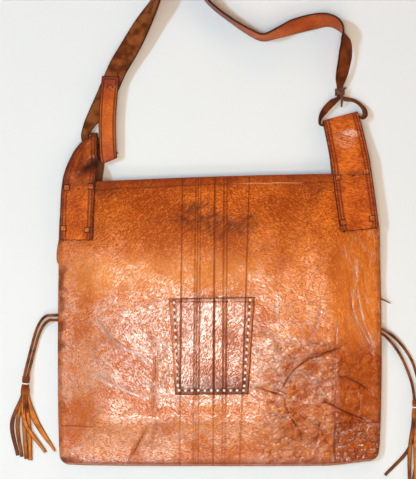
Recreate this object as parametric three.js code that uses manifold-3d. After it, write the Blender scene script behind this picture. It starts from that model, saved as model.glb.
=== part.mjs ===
// A worn leather shoulder bag lying on its back: a flat pouch open at the mouth, a small pocket patch,
// two tabs folded over the mouth, a long shoulder strap, and a pair of tasselled thongs at each side.
// Millimetres, +Z up, the mouth towards +Y.
import * as THREE from 'three';
import { mergeVertices } from 'three/addons/utils/BufferGeometryUtils.js';
import Module from 'manifold-3d';

const wasm = await Module();
wasm.setup();

const { clamp, lerp, smoothstep, degToRad } = THREE.MathUtils;

// Pouch
const LEATHER = 2;
const SEAM_GAP = 0.8;
const HALF_WIDTH = 167.5;
const LEFT_BULGE = 2.5;
const RIGHT_BULGE = 4;
const BULGE_SKEW = 0.7;
const LEFT_NIP = 3.5;
const RIGHT_NIP = 10;
const NIP_FROM = 245;
const MOUTH_Y = 301;
const MOUTH_SLANT = 5.2;
const MOUTH_BOW = 2.2;
const BOTTOM_SAG = 1.8;
const CORNER_RADIUS = 10;
const CORNER_LIFT = 4;
const CORNER_LIFT_FROM = 110;
const BODY_DEPTH = 21;
const MOUTH_DEPTH = 11;
const MOUTH_FALL = 115;
const LEFT_SLOPE = 62;
const RIGHT_SLOPE = 64;
const BOTTOM_SLOPE = 62;
const EDGE_ROLL = 6.5;
const MOUTH_ROLL = 5;
const BACK_RAISE = 2.4;
const BACK_INSET = 0.6;
const FRONT_STEPS = { across: 28, along: 26 };
const BACK_STEPS = { across: 22, along: 16 };

// Pocket patch, by its corners on the front
const POCKET = { leather: 1.6, lift: 0.6, bow: 3.5, steps: 10 };
const POCKET_TOP = { leftX: -52.3, rightX: 36.9, leftY: 175.4, rightY: 177.4 };
const POCKET_FOOT = { leftX: -45.8, rightX: 30.6, leftY: 75.4, rightY: 76.2 };

// Strap tabs, shoulder strap and its tie
const TAB_LEATHER = 1.8;
const TAB_LIFT = 2.8;
const TAB_STEPS = { across: 4, along: 44 };
const STRAP_LEATHER = 2.2;
const STRAP_STEPS = { across: 2, along: 126 };
const TIE = { x: 127.6, y: 393, z: 4.25, innerX: 3.9, innerZ: 2.9, wall: 1.2, length: 7 };
const TIE_TAIL = { width: 2.4, thickness: 1.4, steps: 6 };

// Thongs and tassels
const THONG_RADIUS = 1.5;
const THONG_SIDES = 8;
const THONG_STEPS = 16;
const TASSEL_LEATHER = 1.5;
const TASSEL_FLATNESS = 0.85;
const TASSEL_SIDES = 10;
const STRIP_STEPS = 9;

// Main folds and dents of the front: a ridge or a valley along a line, as high and as wide as stated
const FOLDS = [
  { fold: 'bottom ridge left', x1: -122, y1: 47, x2: -8, y2: 52, height: 2.4, width: 9 },
  { fold: 'bottom ridge right', x1: -6, y1: 52, x2: 112, y2: 49, height: 2.8, width: 9 },
  { fold: 'valley over the ridge', x1: -100, y1: 66, x2: 92, y2: 68, height: -2.2, width: 10 },
  { fold: 'left ridge', x1: -131, y1: 52, x2: -133, y2: 225, height: 1.6, width: 9 },
  { fold: 'right ridge', x1: 121, y1: 44, x2: 122, y2: 150, height: 3, width: 9 },
  { fold: 'crease to the pocket', x1: 124, y1: 121, x2: 80, y2: 100, height: -3.6, width: 9 },
  { fold: 'crease to the side', x1: 121, y1: 98, x2: 156, y2: 82, height: -3.2, width: 9 },
  { fold: 'crease at the corner', x1: 112, y1: 68, x2: 158, y2: 48, height: -3.6, width: 9 },
  { fold: 'swelling right of pocket', x1: 62, y1: 150, x2: 96, y2: 128, height: 2.6, width: 20 },
  { fold: 'swelling left of pocket', x1: -108, y1: 120, x2: -84, y2: 160, height: 2.2, width: 22 },
];

// Tabs, from the sewn front end over the mouth to the fold, then under the back. drape 1 lies on the front.
const TAB_LEFT = {
  front: [
    { place: 'front end', x: -149.2, y: 236.2, z: 0, width: 33, across: 0, drape: 1 },
    { place: 'above the end', x: -149.2, y: 240, z: 0, width: 35.4, across: 0, drape: 1 },
    { place: 'middle', x: -148.8, y: 268, z: 0, width: 36, across: 0, drape: 1 },
    { place: 'mouth', x: -146.8, y: 299, z: 17, width: 35, across: -1, drape: 1 },
    { place: 'past the mouth', x: -143.4, y: 315, z: 12.5, width: 32.4, across: 0, drape: 0 },
    { place: 'gathered', x: -140, y: 331, z: 9.4, width: 24.4, across: 2, drape: 0 },
    { place: 'near the fold', x: -136.2, y: 340.5, z: 8.8, width: 16.6, across: 4, drape: 0 },
    { place: 'fold', x: -131.7, y: 345.2, z: 8.6, width: 7.4, across: 4, drape: 0 },
  ],
  back: [
    { place: 'fold', x: -131.7, y: 345.2, z: 1.3, width: 7.4, across: 4, drape: 0 },
    { place: 'behind the fold', x: -130.6, y: 339, z: 1.15, width: 14, across: 4, drape: 0 },
    { place: 'gathered', x: -130.5, y: 327, z: 1, width: 20, across: 3, drape: 0 },
    { place: 'mouth', x: -140.5, y: 303, z: 1, width: 35, across: 0, drape: 0 },
    { place: 'above the end', x: -144, y: 258, z: 1, width: 35, across: 0, drape: 0 },
    { place: 'back end', x: -144.4, y: 253, z: 1, width: 32, across: 0, drape: 0 },
  ],
};
const TAB_RIGHT = {
  front: [
    { place: 'front end', x: 147, y: 246.8, z: 0, width: 36, across: 6, drape: 1 },
    { place: 'above the end', x: 146.6, y: 251.5, z: 0, width: 41.8, across: 6.5, drape: 1 },
    { place: 'middle', x: 143.4, y: 277, z: 0, width: 42, across: 8, drape: 1 },
    { place: 'mouth', x: 139.2, y: 308.5, z: 17, width: 41.4, across: 9, drape: 1 },
    { place: 'past the mouth', x: 136.4, y: 327, z: 12, width: 40.4, across: 10.5, drape: 0 },
    { place: 'near the fold', x: 132.3, y: 348, z: 9.2, width: 39.6, across: 13, drape: 0 },
    { place: 'fold', x: 128.8, y: 362.9, z: 8.8, width: 38.4, across: 15, drape: 0 },
  ],
  back: [
    { place: 'fold', x: 128.8, y: 362.9, z: 1.3, width: 38.4, across: 15, drape: 0 },
    { place: 'behind the fold', x: 130.4, y: 355.6, z: 1.15, width: 38.2, across: 14, drape: 0 },
    { place: 'past the mouth', x: 135, y: 332, z: 1, width: 38, across: 11, drape: 0 },
    { place: 'mouth', x: 138, y: 303, z: 1, width: 37, across: 9, drape: 0 },
    { place: 'above the end', x: 142.6, y: 263, z: 1, width: 37, across: 8, drape: 0 },
    { place: 'back end', x: 143.2, y: 258, z: 1, width: 33, across: 8, drape: 0 },
  ],
};

// Shoulder strap, from the sewn end of the left loop to the tied end at the right. lift is the height of its
// lower edge, across the heading of its width, tilt how far that width leans out of the level.
const STRAP_LOOP = [
  { place: 'sewn end', x: -114, y: 408.6, lift: 9, width: 18.4, across: 178, tilt: 0 },
  { place: 'loop top', x: -116, y: 387.6, lift: 8.4, width: 18.2, across: 177, tilt: 0 },
  { place: 'loop middle', x: -117.6, y: 362, lift: 8.2, width: 18, across: 179, tilt: 0 },
  { place: 'loop foot', x: -117.4, y: 341, lift: 7.9, width: 18, across: 184, tilt: 0 },
  { place: 'loop fold', x: -116.2, y: 322.6, lift: 6.6, width: 18.2, across: 200, tilt: 0 },
];
const STRAP_RUN = [
  { place: 'under the fold', x: -116.8, y: 322.6, lift: 2.4, width: 17, across: 205, tilt: 0 },
  { place: 'out of the tab', x: -124, y: 328.4, lift: 3, width: 13.5, across: 226, tilt: 0 },
  { place: 'in the tab', x: -131.6, y: 334, lift: 3.4, width: 11, across: 236, tilt: 0 },
  { place: 'into the tab', x: -139.4, y: 339, lift: 3.4, width: 9.2, across: 222, tilt: 0 },
  { place: 'left of the fold', x: -141.4, y: 346.8, lift: 3, width: 8.8, across: 188, tilt: 0 },
  { place: 'over the tab', x: -137.6, y: 357.2, lift: 1.6, width: 11.8, across: 163, tilt: 0 },
  { place: 'beside the loop', x: -128, y: 372.6, lift: 3.2, width: 17.6, across: 152, tilt: 0 },
  { place: 'under the sewn end', x: -116.9, y: 394.2, lift: 5.4, width: 20, across: 150, tilt: 0 },
  { place: 'left run', x: -106.3, y: 417.9, lift: 6.6, width: 20.5, across: 150, tilt: 0 },
  { place: 'left run end', x: -93.6, y: 439.5, lift: 5.6, width: 21, across: 151, tilt: -8 },
  { place: 'rising on edge', x: -79.1, y: 466.3, lift: 1.6, width: 21, across: 152, tilt: -32 },
  { place: 'nearly on edge', x: -66.3, y: 488.9, lift: 0.3, width: 21, across: 152, tilt: -60 },
  { place: 'bend begins', x: -57, y: 508.5, lift: 0.3, width: 21, across: 146, tilt: -80 },
  { place: 'bend', x: -42.6, y: 521, lift: 0.3, width: 21, across: 92, tilt: -90 },
  { place: 'bend ends', x: -26.4, y: 506, lift: 0.3, width: 21, across: 42, tilt: -91 },
  { place: 'falling run', x: -9, y: 484.6, lift: 0.3, width: 21, across: 46, tilt: -91 },
  { place: 'falling run end', x: 12.6, y: 467.6, lift: 0.3, width: 21, across: 53, tilt: -92 },
  { place: 'into the dip', x: 32, y: 455.3, lift: 0.3, width: 21, across: 62, tilt: -97 },
  { place: 'dip', x: 45.6, y: 449.6, lift: 0.3, width: 21, across: 88, tilt: -101 },
  { place: 'out of the dip', x: 62.6, y: 454.8, lift: 0.3, width: 21, across: 106, tilt: -113 },
  { place: 'crest begins', x: 78, y: 460.9, lift: 0.3, width: 21, across: 106, tilt: -128 },
  { place: 'crest', x: 97.5, y: 466, lift: 0.3, width: 21, across: 102, tilt: -131 },
  { place: 'crest ends', x: 113.4, y: 468, lift: 0.3, width: 21, across: 94, tilt: -120 },
  { place: 'turn', x: 123, y: 464.6, lift: 0.3, width: 21, across: 62, tilt: -110 },
  { place: 'turning down', x: 129.4, y: 457.4, lift: 0.3, width: 21, across: 22, tilt: -92 },
  { place: 'down', x: 133.4, y: 447, lift: 1.6, width: 21, across: -2, tilt: -58 },
  { place: 'right run', x: 132.7, y: 431.4, lift: 4.4, width: 21, across: -8, tilt: -46 },
  { place: 'right run end', x: 129.8, y: 414.5, lift: 4.6, width: 18, across: -9, tilt: -42 },
  { place: 'narrowing', x: 128, y: 404.6, lift: 4.4, width: 11, across: -6, tilt: -20 },
  { place: 'above the tie', x: 127.6, y: 398.5, lift: 4, width: 6.8, across: -4, tilt: -4 },
  { place: 'in the tie', x: 127.5, y: 388.4, lift: 4.5, width: 5.6, across: -5, tilt: 0 },
  { place: 'left branch', x: 119.6, y: 381.6, lift: 4, width: 7.2, across: -44, tilt: 0 },
  { place: 'left branch low', x: 111.8, y: 373.2, lift: 2.8, width: 7.2, across: -38, tilt: -20 },
  { place: 'round the left edge', x: 107, y: 364.6, lift: 1.6, width: 6.4, across: -8, tilt: -62 },
  { place: 'beside the right tab', x: 106.8, y: 358.6, lift: 2.2, width: 5.4, across: 40, tilt: -76 },
  { place: 'into the right tab', x: 111.4, y: 357.4, lift: 2.75, width: 4.6, across: 104, tilt: -88 },
  { place: 'inside the right tab', x: 129, y: 362.1, lift: 2.85, width: 4.4, across: 105, tilt: -90 },
  { place: 'out of the right tab', x: 146.2, y: 366.7, lift: 2.8, width: 4.6, across: 105, tilt: -88 },
  { place: 'round the right edge', x: 151.4, y: 365.4, lift: 1.8, width: 6.6, across: 72, tilt: -64 },
  { place: 'beside the right edge', x: 154.2, y: 368.2, lift: 1.2, width: 7.2, across: 140, tilt: -54 },
  { place: 'right branch', x: 153.4, y: 373.8, lift: 0.9, width: 7.2, across: 192, tilt: -66 },
  { place: 'right branch top', x: 149, y: 379.4, lift: 0.6, width: 6.8, across: 220, tilt: -80 },
  { place: 'right branch end', x: 142.2, y: 384, lift: 0.6, width: 5.8, across: 238, tilt: -72 },
  { place: 'to the tie', x: 135, y: 385.2, lift: 0.9, width: 4.6, across: 252, tilt: -40 },
  { place: 'under the tie', x: 129.2, y: 387.8, lift: 1.5, width: 3.5, across: 222, tilt: -8 },
  { place: 'end in the tie', x: 127.8, y: 394, lift: 1.65, width: 3.4, across: 192, tilt: 0 },
];

// Thongs, by centre points from the side seam to the tassel
const THONGS = {
  thong_left_upper: [
    { x: -172.6, y: 157, z: 6 },
    { x: -182, y: 156.4, z: 4.4 },
    { x: -188.2, y: 151.2, z: 2.4 },
    { x: -193.9, y: 139.6, z: 1.7 },
    { x: -198.4, y: 123.6, z: 1.7 },
    { x: -202.4, y: 107.6, z: 2.2 },
    { x: -205.6, y: 93.1, z: 3.6 },
  ],
  thong_left_lower: [
    { x: -172.6, y: 152, z: 6 },
    { x: -179.6, y: 151.4, z: 4.4 },
    { x: -185.4, y: 146.2, z: 2.4 },
    { x: -190.6, y: 136, z: 1.7 },
    { x: -195, y: 121, z: 1.7 },
    { x: -199, y: 105, z: 2.2 },
    { x: -201.8, y: 93.1, z: 3.6 },
  ],
  thong_right_upper: [
    { x: 174.2, y: 141.2, z: 6 },
    { x: 184.4, y: 134.2, z: 4.4 },
    { x: 196, y: 121.8, z: 2.2 },
    { x: 204, y: 108.8, z: 1.7 },
    { x: 209.2, y: 94, z: 1.7 },
    { x: 211.2, y: 79.8, z: 2.2 },
    { x: 210.2, y: 68, z: 3.6 },
  ],
  thong_right_lower: [
    { x: 174.2, y: 136, z: 6 },
    { x: 181.6, y: 128.6, z: 4.4 },
    { x: 192, y: 114.2, z: 2.2 },
    { x: 200, y: 97.2, z: 1.7 },
    { x: 204.8, y: 81.9, z: 2 },
    { x: 206.4, y: 68, z: 3.6 },
  ],
};

// Tassel heads, from the collar's top to where the strips leave it
const TASSEL_HEAD = [
  { along: 0, radius: 4 },
  { along: 6.2, radius: 4.1 },
  { along: 7.2, radius: 3.3 },
  { along: 8.6, radius: 3.3 },
  { along: 10, radius: 4 },
  { along: 18.8, radius: 4.5 },
];
// Strips of each tassel: how far aside they lie at the head, half way and at the end, how far along they reach,
// and their width half way and at the tip
const TASSELS = {
  tassel_left: {
    x: -203.7,
    y: 92.6,
    heading: -95,
    strips: [
      { strip: 'outer', from: -2.4, middle: -11, end: -2, reach: 66, width: 4.4, tip: 3.6, lift: 0.15 },
      { strip: 'second', from: -1.6, middle: -5, end: 2.5, reach: 67, width: 4.2, tip: 3.4, lift: 1.2 },
      { strip: 'curled', from: -1, middle: 3, end: 27, reach: 60, width: 4.8, tip: 3.2, lift: 2.9 },
      { strip: 'straight', from: 0, middle: 2.2, end: 7.6, reach: 69, width: 4.6, tip: 4.4, lift: 0.15 },
      { strip: 'inner', from: 1.4, middle: 7.6, end: 11.8, reach: 70, width: 4.6, tip: 4.4, lift: 1.3 },
      { strip: 'far', from: 2.4, middle: 14.5, end: 37, reach: 58, width: 6.8, tip: 2.4, lift: 0.15 },
    ],
  },
  tassel_right: {
    x: 208.3,
    y: 67.6,
    heading: -91,
    strips: [
      { strip: 'curled', from: -2.4, middle: -5, end: -31, reach: 62, width: 3.8, tip: 3, lift: 0.15 },
      { strip: 'outer', from: -1.8, middle: -5.4, end: -5, reach: 69, width: 4.4, tip: 3.5, lift: 1.4 },
      { strip: 'wide', from: 0, middle: 1.5, end: 2.4, reach: 70, width: 6.5, tip: 5.2, lift: 2.8 },
      { strip: 'straight', from: 1, middle: 3.4, end: -1, reach: 67, width: 4.2, tip: 3.4, lift: 0.15 },
      { strip: 'inner', from: 1.8, middle: 8, end: 6.5, reach: 68, width: 4.4, tip: 3.5, lift: 1.2 },
      { strip: 'far', from: 2.4, middle: 12, end: 24, reach: 63, width: 4.2, tip: 3, lift: 0.15 },
    ],
  },
};

// Colours and finish of each piece
const FINISH = {
  front_panel: { colour: 0xc46a30, roughness: 0.48 },
  back_panel: { colour: 0xb25c26, roughness: 0.55 },
  pocket_patch: { colour: 0xc98057, roughness: 0.42 },
  tab_left: { colour: 0xb5501a, roughness: 0.5 },
  tab_right: { colour: 0xbd5a20, roughness: 0.5 },
  shoulder_strap: { colour: 0x9c4a1c, roughness: 0.6 },
  strap_tie: { colour: 0x6e2f10, roughness: 0.65 },
  thong: { colour: 0x8f4a22, roughness: 0.6 },
  tassel: { colour: 0xa55a2c, roughness: 0.6 },
};

const ease = (distance, run) => smoothstep(distance, 0, run);
const bottomAt = (x) =>
  CORNER_LIFT * smoothstep(x, CORNER_LIFT_FROM, HALF_WIDTH) - BOTTOM_SAG * (1 - (x / HALF_WIDTH) ** 4);
const mouthAt = (x) => MOUTH_Y + (MOUTH_SLANT * x) / HALF_WIDTH + MOUTH_BOW * (1 - (x / HALF_WIDTH) ** 2);

// Half the pouch's width on the left or the right of its middle line, at a height up the bag: fuller low down,
// drawn in at the mouth
function sideAt(x, y) {
  const bulge = x < 0 ? LEFT_BULGE : RIGHT_BULGE;
  const nip = x < 0 ? LEFT_NIP : RIGHT_NIP;
  const full = Math.sin(Math.PI * clamp(y / MOUTH_Y, 0, 1) ** BULGE_SKEW);
  return HALF_WIDTH + bulge * full - nip * smoothstep(y, NIP_FROM, MOUTH_Y);
}

// The back is lifted at both top corners, where the tabs' back ends lie under it
function backRaise(x, y) {
  return BACK_RAISE * smoothstep(Math.abs(x), 80, 104) * smoothstep(y, 190, 240);
}

// Height of the folds and dents at a place on the front
function foldHeight(x, y) {
  let height = 0;
  for (const fold of FOLDS) {
    const runX = fold.x2 - fold.x1;
    const runY = fold.y2 - fold.y1;
    const share = ((x - fold.x1) * runX + (y - fold.y1) * runY) / (runX * runX + runY * runY);
    const nearest = clamp(share, 0, 1);
    const away = Math.hypot(x - fold.x1 - nearest * runX, y - fold.y1 - nearest * runY);
    height += fold.height * Math.exp(-((away / fold.width) ** 2));
  }
  return height;
}

// Height of the front's middle surface where its slopes run on to the edge without rolling over
function slopeHeight(x, y) {
  const roll = lerp(EDGE_ROLL, MOUTH_ROLL, smoothstep(y, 180, MOUTH_Y));
  const depth = lerp(MOUTH_DEPTH, BODY_DEPTH, smoothstep(mouthAt(x) - y, 0, MOUTH_FALL));
  const side = sideAt(x, y);
  const rise = ease(side + x, LEFT_SLOPE) * ease(side - x, RIGHT_SLOPE) * ease(y - bottomAt(x), BOTTOM_SLOPE);
  return backRaise(x, y) + LEATHER + SEAM_GAP + roll + (depth - roll) * rise;
}

// Height of the front's middle surface, rolled over at the sides and the bottom
function frontHeight(x, y, edge = Math.min(sideAt(x, y) - Math.abs(x), y - bottomAt(x))) {
  const roll = lerp(EDGE_ROLL, MOUTH_ROLL, smoothstep(y, 180, MOUTH_Y));
  const turn = 1 - clamp(edge / roll, 0, 1);
  const fall = roll * (1 - Math.sqrt(Math.max(0, 1 - turn * turn)));
  return slopeHeight(x, y) - fall + foldHeight(x, y) * smoothstep(edge, 2, 20);
}

// A place in the pouch's outline, with its distance from the edge: across and up run from -1 and 0 to 1,
// and the two bottom corners of that square are drawn onto rounded ones
function outlinePlace(across, up, inset) {
  const sign = across < 0 ? -1 : 1;
  const bottom = bottomAt(across * HALF_WIDTH) + inset;
  const y = lerp(bottom, mouthAt(across * HALF_WIDTH), up);
  const side = sideAt(across, y) - inset;
  let fromSide = side * (1 - Math.abs(across));
  let fromBottom = y - bottom;
  let edge = Math.min(fromSide, fromBottom);
  if (fromSide < CORNER_RADIUS && fromBottom < CORNER_RADIUS) {
    const a = 1 - fromSide / CORNER_RADIUS;
    const b = 1 - fromBottom / CORNER_RADIUS;
    const roundA = a * Math.sqrt(1 - (b * b) / 2);
    const roundB = b * Math.sqrt(1 - (a * a) / 2);
    fromSide = CORNER_RADIUS * (1 - roundA);
    fromBottom = CORNER_RADIUS * (1 - roundB);
    edge = Math.max(0, CORNER_RADIUS * (1 - Math.hypot(roundA, roundB)));
  }
  return { x: sign * (side - fromSide), y: bottom + fromBottom, edge };
}

// Grid lines crowd towards the edges, where the leather turns
const crowdAcross = (u) => -Math.cos(Math.PI * u);
const crowdUp = (v) => 1 - Math.cos((Math.PI / 2) * v);

function frontPlace(u, v) {
  const { x, y, edge } = outlinePlace(crowdAcross(u), crowdUp(v), 0);
  return new THREE.Vector3(x, y, frontHeight(x, y, edge));
}

function backPlace(u, v) {
  const { x, y } = outlinePlace(crowdAcross(u), crowdUp(v), BACK_INSET);
  return new THREE.Vector3(x, y, LEATHER / 2 + backRaise(x, y));
}

function pocketPlace(u, v) {
  const left = lerp(POCKET_FOOT.leftX, POCKET_TOP.leftX, v);
  const right = lerp(POCKET_FOOT.rightX, POCKET_TOP.rightX, v);
  const leftY = lerp(POCKET_FOOT.leftY, POCKET_TOP.leftY, v);
  const rightY = lerp(POCKET_FOOT.rightY, POCKET_TOP.rightY, v);
  const x = lerp(left, right, u);
  const y = lerp(leftY, rightY, u);
  const bow = POCKET.bow * Math.sin(Math.PI * u) * v ** 3;
  return new THREE.Vector3(x, y, frontHeight(x, y) + (LEATHER + POCKET.leather) / 2 + POCKET.lift + bow);
}

// The direction out of a surface, from its slopes
function normalAt(place, u, v) {
  const step = 0.004;
  const du = place(Math.min(1, u + step), v).sub(place(Math.max(0, u - step), v));
  const dv = place(u, Math.min(1, v + step)).sub(place(u, Math.max(0, v - step)));
  return du.cross(dv).normalize();
}

// A sheet of leather: a finely divided box whose two faces lie half the thickness to each side of a surface
function leatherSheet(place, thickness, across, along) {
  const geometry = new THREE.BoxGeometry(1, 1, 1, across, along, 1);
  const position = geometry.getAttribute('position');
  for (let i = 0; i < position.count; i++) {
    const u = clamp(position.getX(i) + 0.5, 0, 1);
    const v = clamp(position.getY(i) + 0.5, 0, 1);
    const point = place(u, v).addScaledVector(normalAt(place, u, v), position.getZ(i) * thickness);
    position.setXYZ(i, point.x, point.y, point.z);
  }
  geometry.computeVertexNormals();
  return geometry;
}

// A band through the rows of a table: its middle line and its width, heading and tilt run smoothly between them
function bandPlace(rows) {
  const line = new THREE.CatmullRomCurve3(rows.map((row) => new THREE.Vector3(row.x, row.y, row.z)));
  const form = new THREE.CatmullRomCurve3(
    rows.map((row) => new THREE.Vector3(row.width, row.across, row.tilt)),
  );
  return (u, v) => {
    const point = line.getPoint(v);
    const { x: width, y: across, z: tilt } = form.getPoint(v);
    const level = Math.cos(degToRad(tilt));
    const heading = degToRad(across);
    const side = new THREE.Vector3(level * Math.cos(heading), level * Math.sin(heading), Math.sin(degToRad(tilt)));
    return point.addScaledVector(side, (u - 0.5) * width);
  };
}

// Rows for a band folded back on itself: the last upper row, a half circle, then the first lower row
function foldedRows(upper, lower, forward) {
  const from = upper.at(-1);
  const to = lower[0];
  const radius = (from.z - to.z) / 2;
  const heading = degToRad(from.across + forward);
  const turn = [45, 90, 135].map((angle) => {
    const share = angle / 180;
    const out = radius * Math.sin(degToRad(angle));
    return {
      ...from,
      x: lerp(from.x, to.x, share) + out * Math.cos(heading),
      y: lerp(from.y, to.y, share) + out * Math.sin(heading),
      z: to.z + radius * (1 + Math.cos(degToRad(angle))),
      width: lerp(from.width, to.width, share),
      across: lerp(from.across, to.across, share),
    };
  });
  return [...upper, ...turn, ...lower];
}

// A tab: a folded band whose sewn front end follows the front of the pouch
function tabPlace(tab) {
  const rows = foldedRows(tab.front, tab.back, 90).map((row) => ({ ...row, tilt: 0 }));
  const band = bandPlace(rows);
  const drape = new THREE.CatmullRomCurve3(rows.map((row) => new THREE.Vector3(row.drape, 0, 0)));
  return (u, v) => {
    const point = band(u, v);
    const share = clamp(drape.getPoint(v).x, 0, 1);
    const onFront = slopeHeight(point.x, Math.min(point.y, mouthAt(point.x))) + TAB_LIFT;
    point.z = lerp(point.z, onFront, share);
    return point;
  };
}

// The strap: its rows' lifts become heights of its middle line
function strapPlace() {
  const raised = (row) => {
    const tilt = degToRad(row.tilt);
    const half = (row.width * Math.abs(Math.sin(tilt)) + STRAP_LEATHER * Math.abs(Math.cos(tilt))) / 2;
    return { ...row, z: row.lift + half };
  };
  return bandPlace(foldedRows(STRAP_LOOP.map(raised), STRAP_RUN.map(raised), 90));
}

// Solids for joining pieces of one body
function toSolid(geometry) {
  const bare = geometry.index ? geometry.clone() : geometry;
  bare.deleteAttribute('normal');
  bare.deleteAttribute('uv');
  const merged = mergeVertices(bare, 1e-4);
  const mesh = new wasm.Mesh({
    numProp: 3,
    vertProperties: new Float32Array(merged.getAttribute('position').array),
    triVerts: new Uint32Array(merged.index.array),
  });
  return new wasm.Manifold(mesh);
}

function joined(geometries) {
  const solid = geometries.map(toSolid).reduce((whole, next) => whole.add(next));
  const mesh = solid.getMesh();
  const geometry = new THREE.BufferGeometry();
  geometry.setAttribute('position', new THREE.BufferAttribute(mesh.vertProperties, 3));
  geometry.setIndex(new THREE.BufferAttribute(mesh.triVerts, 1));
  geometry.computeVertexNormals();
  return geometry;
}

// The tie: a flat leather ring round the strap's neck and returned end, with one short tail
function tieGeometry() {
  const oblong = (halfX, halfZ) => {
    const outline = new THREE.Path();
    const radius = Math.min(halfX, halfZ) * 0.6;
    outline.moveTo(halfX - radius, -halfZ);
    outline.quadraticCurveTo(halfX, -halfZ, halfX, radius - halfZ);
    outline.lineTo(halfX, halfZ - radius);
    outline.quadraticCurveTo(halfX, halfZ, halfX - radius, halfZ);
    outline.lineTo(radius - halfX, halfZ);
    outline.quadraticCurveTo(-halfX, halfZ, -halfX, halfZ - radius);
    outline.lineTo(-halfX, radius - halfZ);
    outline.quadraticCurveTo(-halfX, -halfZ, radius - halfX, -halfZ);
    return outline.getPoints(3);
  };
  const ringShape = new THREE.Shape(oblong(TIE.innerX + TIE.wall, TIE.innerZ + TIE.wall));
  ringShape.holes.push(new THREE.Path(oblong(TIE.innerX, TIE.innerZ)));
  const ring = new THREE.ExtrudeGeometry(ringShape, { depth: TIE.length, bevelEnabled: false, curveSegments: 3 });
  ring.translate(0, 0, -TIE.length / 2);
  ring.rotateX(Math.PI / 2);
  ring.translate(TIE.x, TIE.y, TIE.z);
  const top = TIE.z + TIE.innerZ + TIE.wall * 0.45;
  const tail = bandPlace([
    { x: TIE.x + 1.4, y: TIE.y - 1, z: top, width: TIE_TAIL.width, across: 180, tilt: 0 },
    { x: TIE.x + 1.8, y: TIE.y - 8, z: top - 0.2, width: TIE_TAIL.width, across: 180, tilt: 0 },
    { x: TIE.x + 2, y: TIE.y - 16, z: top - 4, width: TIE_TAIL.width * 0.8, across: 180, tilt: 0 },
  ]);
  return joined([ring, leatherSheet(tail, TIE_TAIL.thickness, 1, TIE_TAIL.steps)]);
}

// A thong: a round section drawn along its centre points
function thongGeometry(points) {
  const section = new THREE.Shape();
  for (let i = 0; i < THONG_SIDES; i++) {
    const angle = (2 * Math.PI * i) / THONG_SIDES;
    section[i ? 'lineTo' : 'moveTo'](THONG_RADIUS * Math.cos(angle), THONG_RADIUS * Math.sin(angle));
  }
  const extrudePath = new THREE.CatmullRomCurve3(points.map((point) => new THREE.Vector3(point.x, point.y, point.z)));
  return new THREE.ExtrudeGeometry(section, { extrudePath, steps: THONG_STEPS, bevelEnabled: false });
}

// A tassel: a turned head, flattened where it lies, with cut strips fanning out of it
function tasselGeometry({ x, y, heading, strips }) {
  const length = TASSEL_HEAD.at(-1).along;
  const profile = [
    new THREE.Vector2(0, 0),
    ...TASSEL_HEAD.map((ring) => new THREE.Vector2(ring.radius, ring.along)),
    new THREE.Vector2(0, length),
  ];
  const widest = Math.max(...TASSEL_HEAD.map((ring) => ring.radius));
  const headTurn = degToRad(heading - 90);
  const head = new THREE.LatheGeometry(profile, TASSEL_SIDES);
  head.scale(1, 1, TASSEL_FLATNESS);
  head.rotateZ(headTurn);
  head.translate(x, y, widest * TASSEL_FLATNESS + 0.1);
  const along = new THREE.Vector3(0, 1, 0).applyAxisAngle(new THREE.Vector3(0, 0, 1), headTurn);
  const aside = new THREE.Vector3(-along.y, along.x, 0);
  const bands = strips.map((strip) => {
    const at = (offset, reach, z, width, across) => ({
      x: x + along.x * reach + aside.x * offset,
      y: y + along.y * reach + aside.y * offset,
      z,
      width,
      across: heading + 90 + across,
      tilt: 0,
    });
    const z = strip.lift + TASSEL_LEATHER / 2;
    const half = length + strip.reach / 2;
    const lean = THREE.MathUtils.radToDeg(Math.atan2(strip.end - strip.middle, strip.reach / 2));
    const place = bandPlace([
      at(strip.from, length - 6, widest * TASSEL_FLATNESS, strip.width * 0.7, 0),
      at(strip.from, length + 2, lerp(widest * TASSEL_FLATNESS, z, 0.4), strip.width * 0.85, 0),
      at(strip.middle, half, z, strip.width, lean * 0.4),
      at(strip.end, length + strip.reach, TASSEL_LEATHER / 2 + 0.25, strip.tip, lean),
    ]);
    return leatherSheet(place, TASSEL_LEATHER, 1, STRIP_STEPS);
  });
  return joined([head, ...bands]);
}

const group = new THREE.Group();
const bag = new THREE.Group();
group.add(bag);

function addPiece(name, geometry, finish) {
  const material = new THREE.MeshStandardMaterial({ color: finish.colour, roughness: finish.roughness, metalness: 0 });
  const mesh = new THREE.Mesh(geometry, material);
  mesh.name = name;
  bag.add(mesh);
  return mesh;
}

const panels = [
  addPiece(
    'front_panel',
    leatherSheet(frontPlace, LEATHER, FRONT_STEPS.across, FRONT_STEPS.along),
    FINISH.front_panel,
  ),
  addPiece('back_panel', leatherSheet(backPlace, LEATHER, BACK_STEPS.across, BACK_STEPS.along), FINISH.back_panel),
  addPiece(
    'pocket_patch',
    leatherSheet(pocketPlace, POCKET.leather, POCKET.steps, POCKET.steps),
    FINISH.pocket_patch,
  ),
];
const straps = [
  addPiece(
    'tab_left',
    leatherSheet(tabPlace(TAB_LEFT), TAB_LEATHER, TAB_STEPS.across, TAB_STEPS.along),
    FINISH.tab_left,
  ),
  addPiece(
    'tab_right',
    leatherSheet(tabPlace(TAB_RIGHT), TAB_LEATHER, TAB_STEPS.across, TAB_STEPS.along),
    FINISH.tab_right,
  ),
  addPiece(
    'shoulder_strap',
    leatherSheet(strapPlace(), STRAP_LEATHER, STRAP_STEPS.across, STRAP_STEPS.along),
    FINISH.shoulder_strap,
  ),
  addPiece('strap_tie', tieGeometry(), FINISH.strap_tie),
];
for (const [name, points] of Object.entries(THONGS)) {
  addPiece(name, thongGeometry(points), FINISH.thong);
}
for (const [name, tassel] of Object.entries(TASSELS)) {
  addPiece(name, tasselGeometry(tassel), FINISH.tassel);
}

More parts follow.
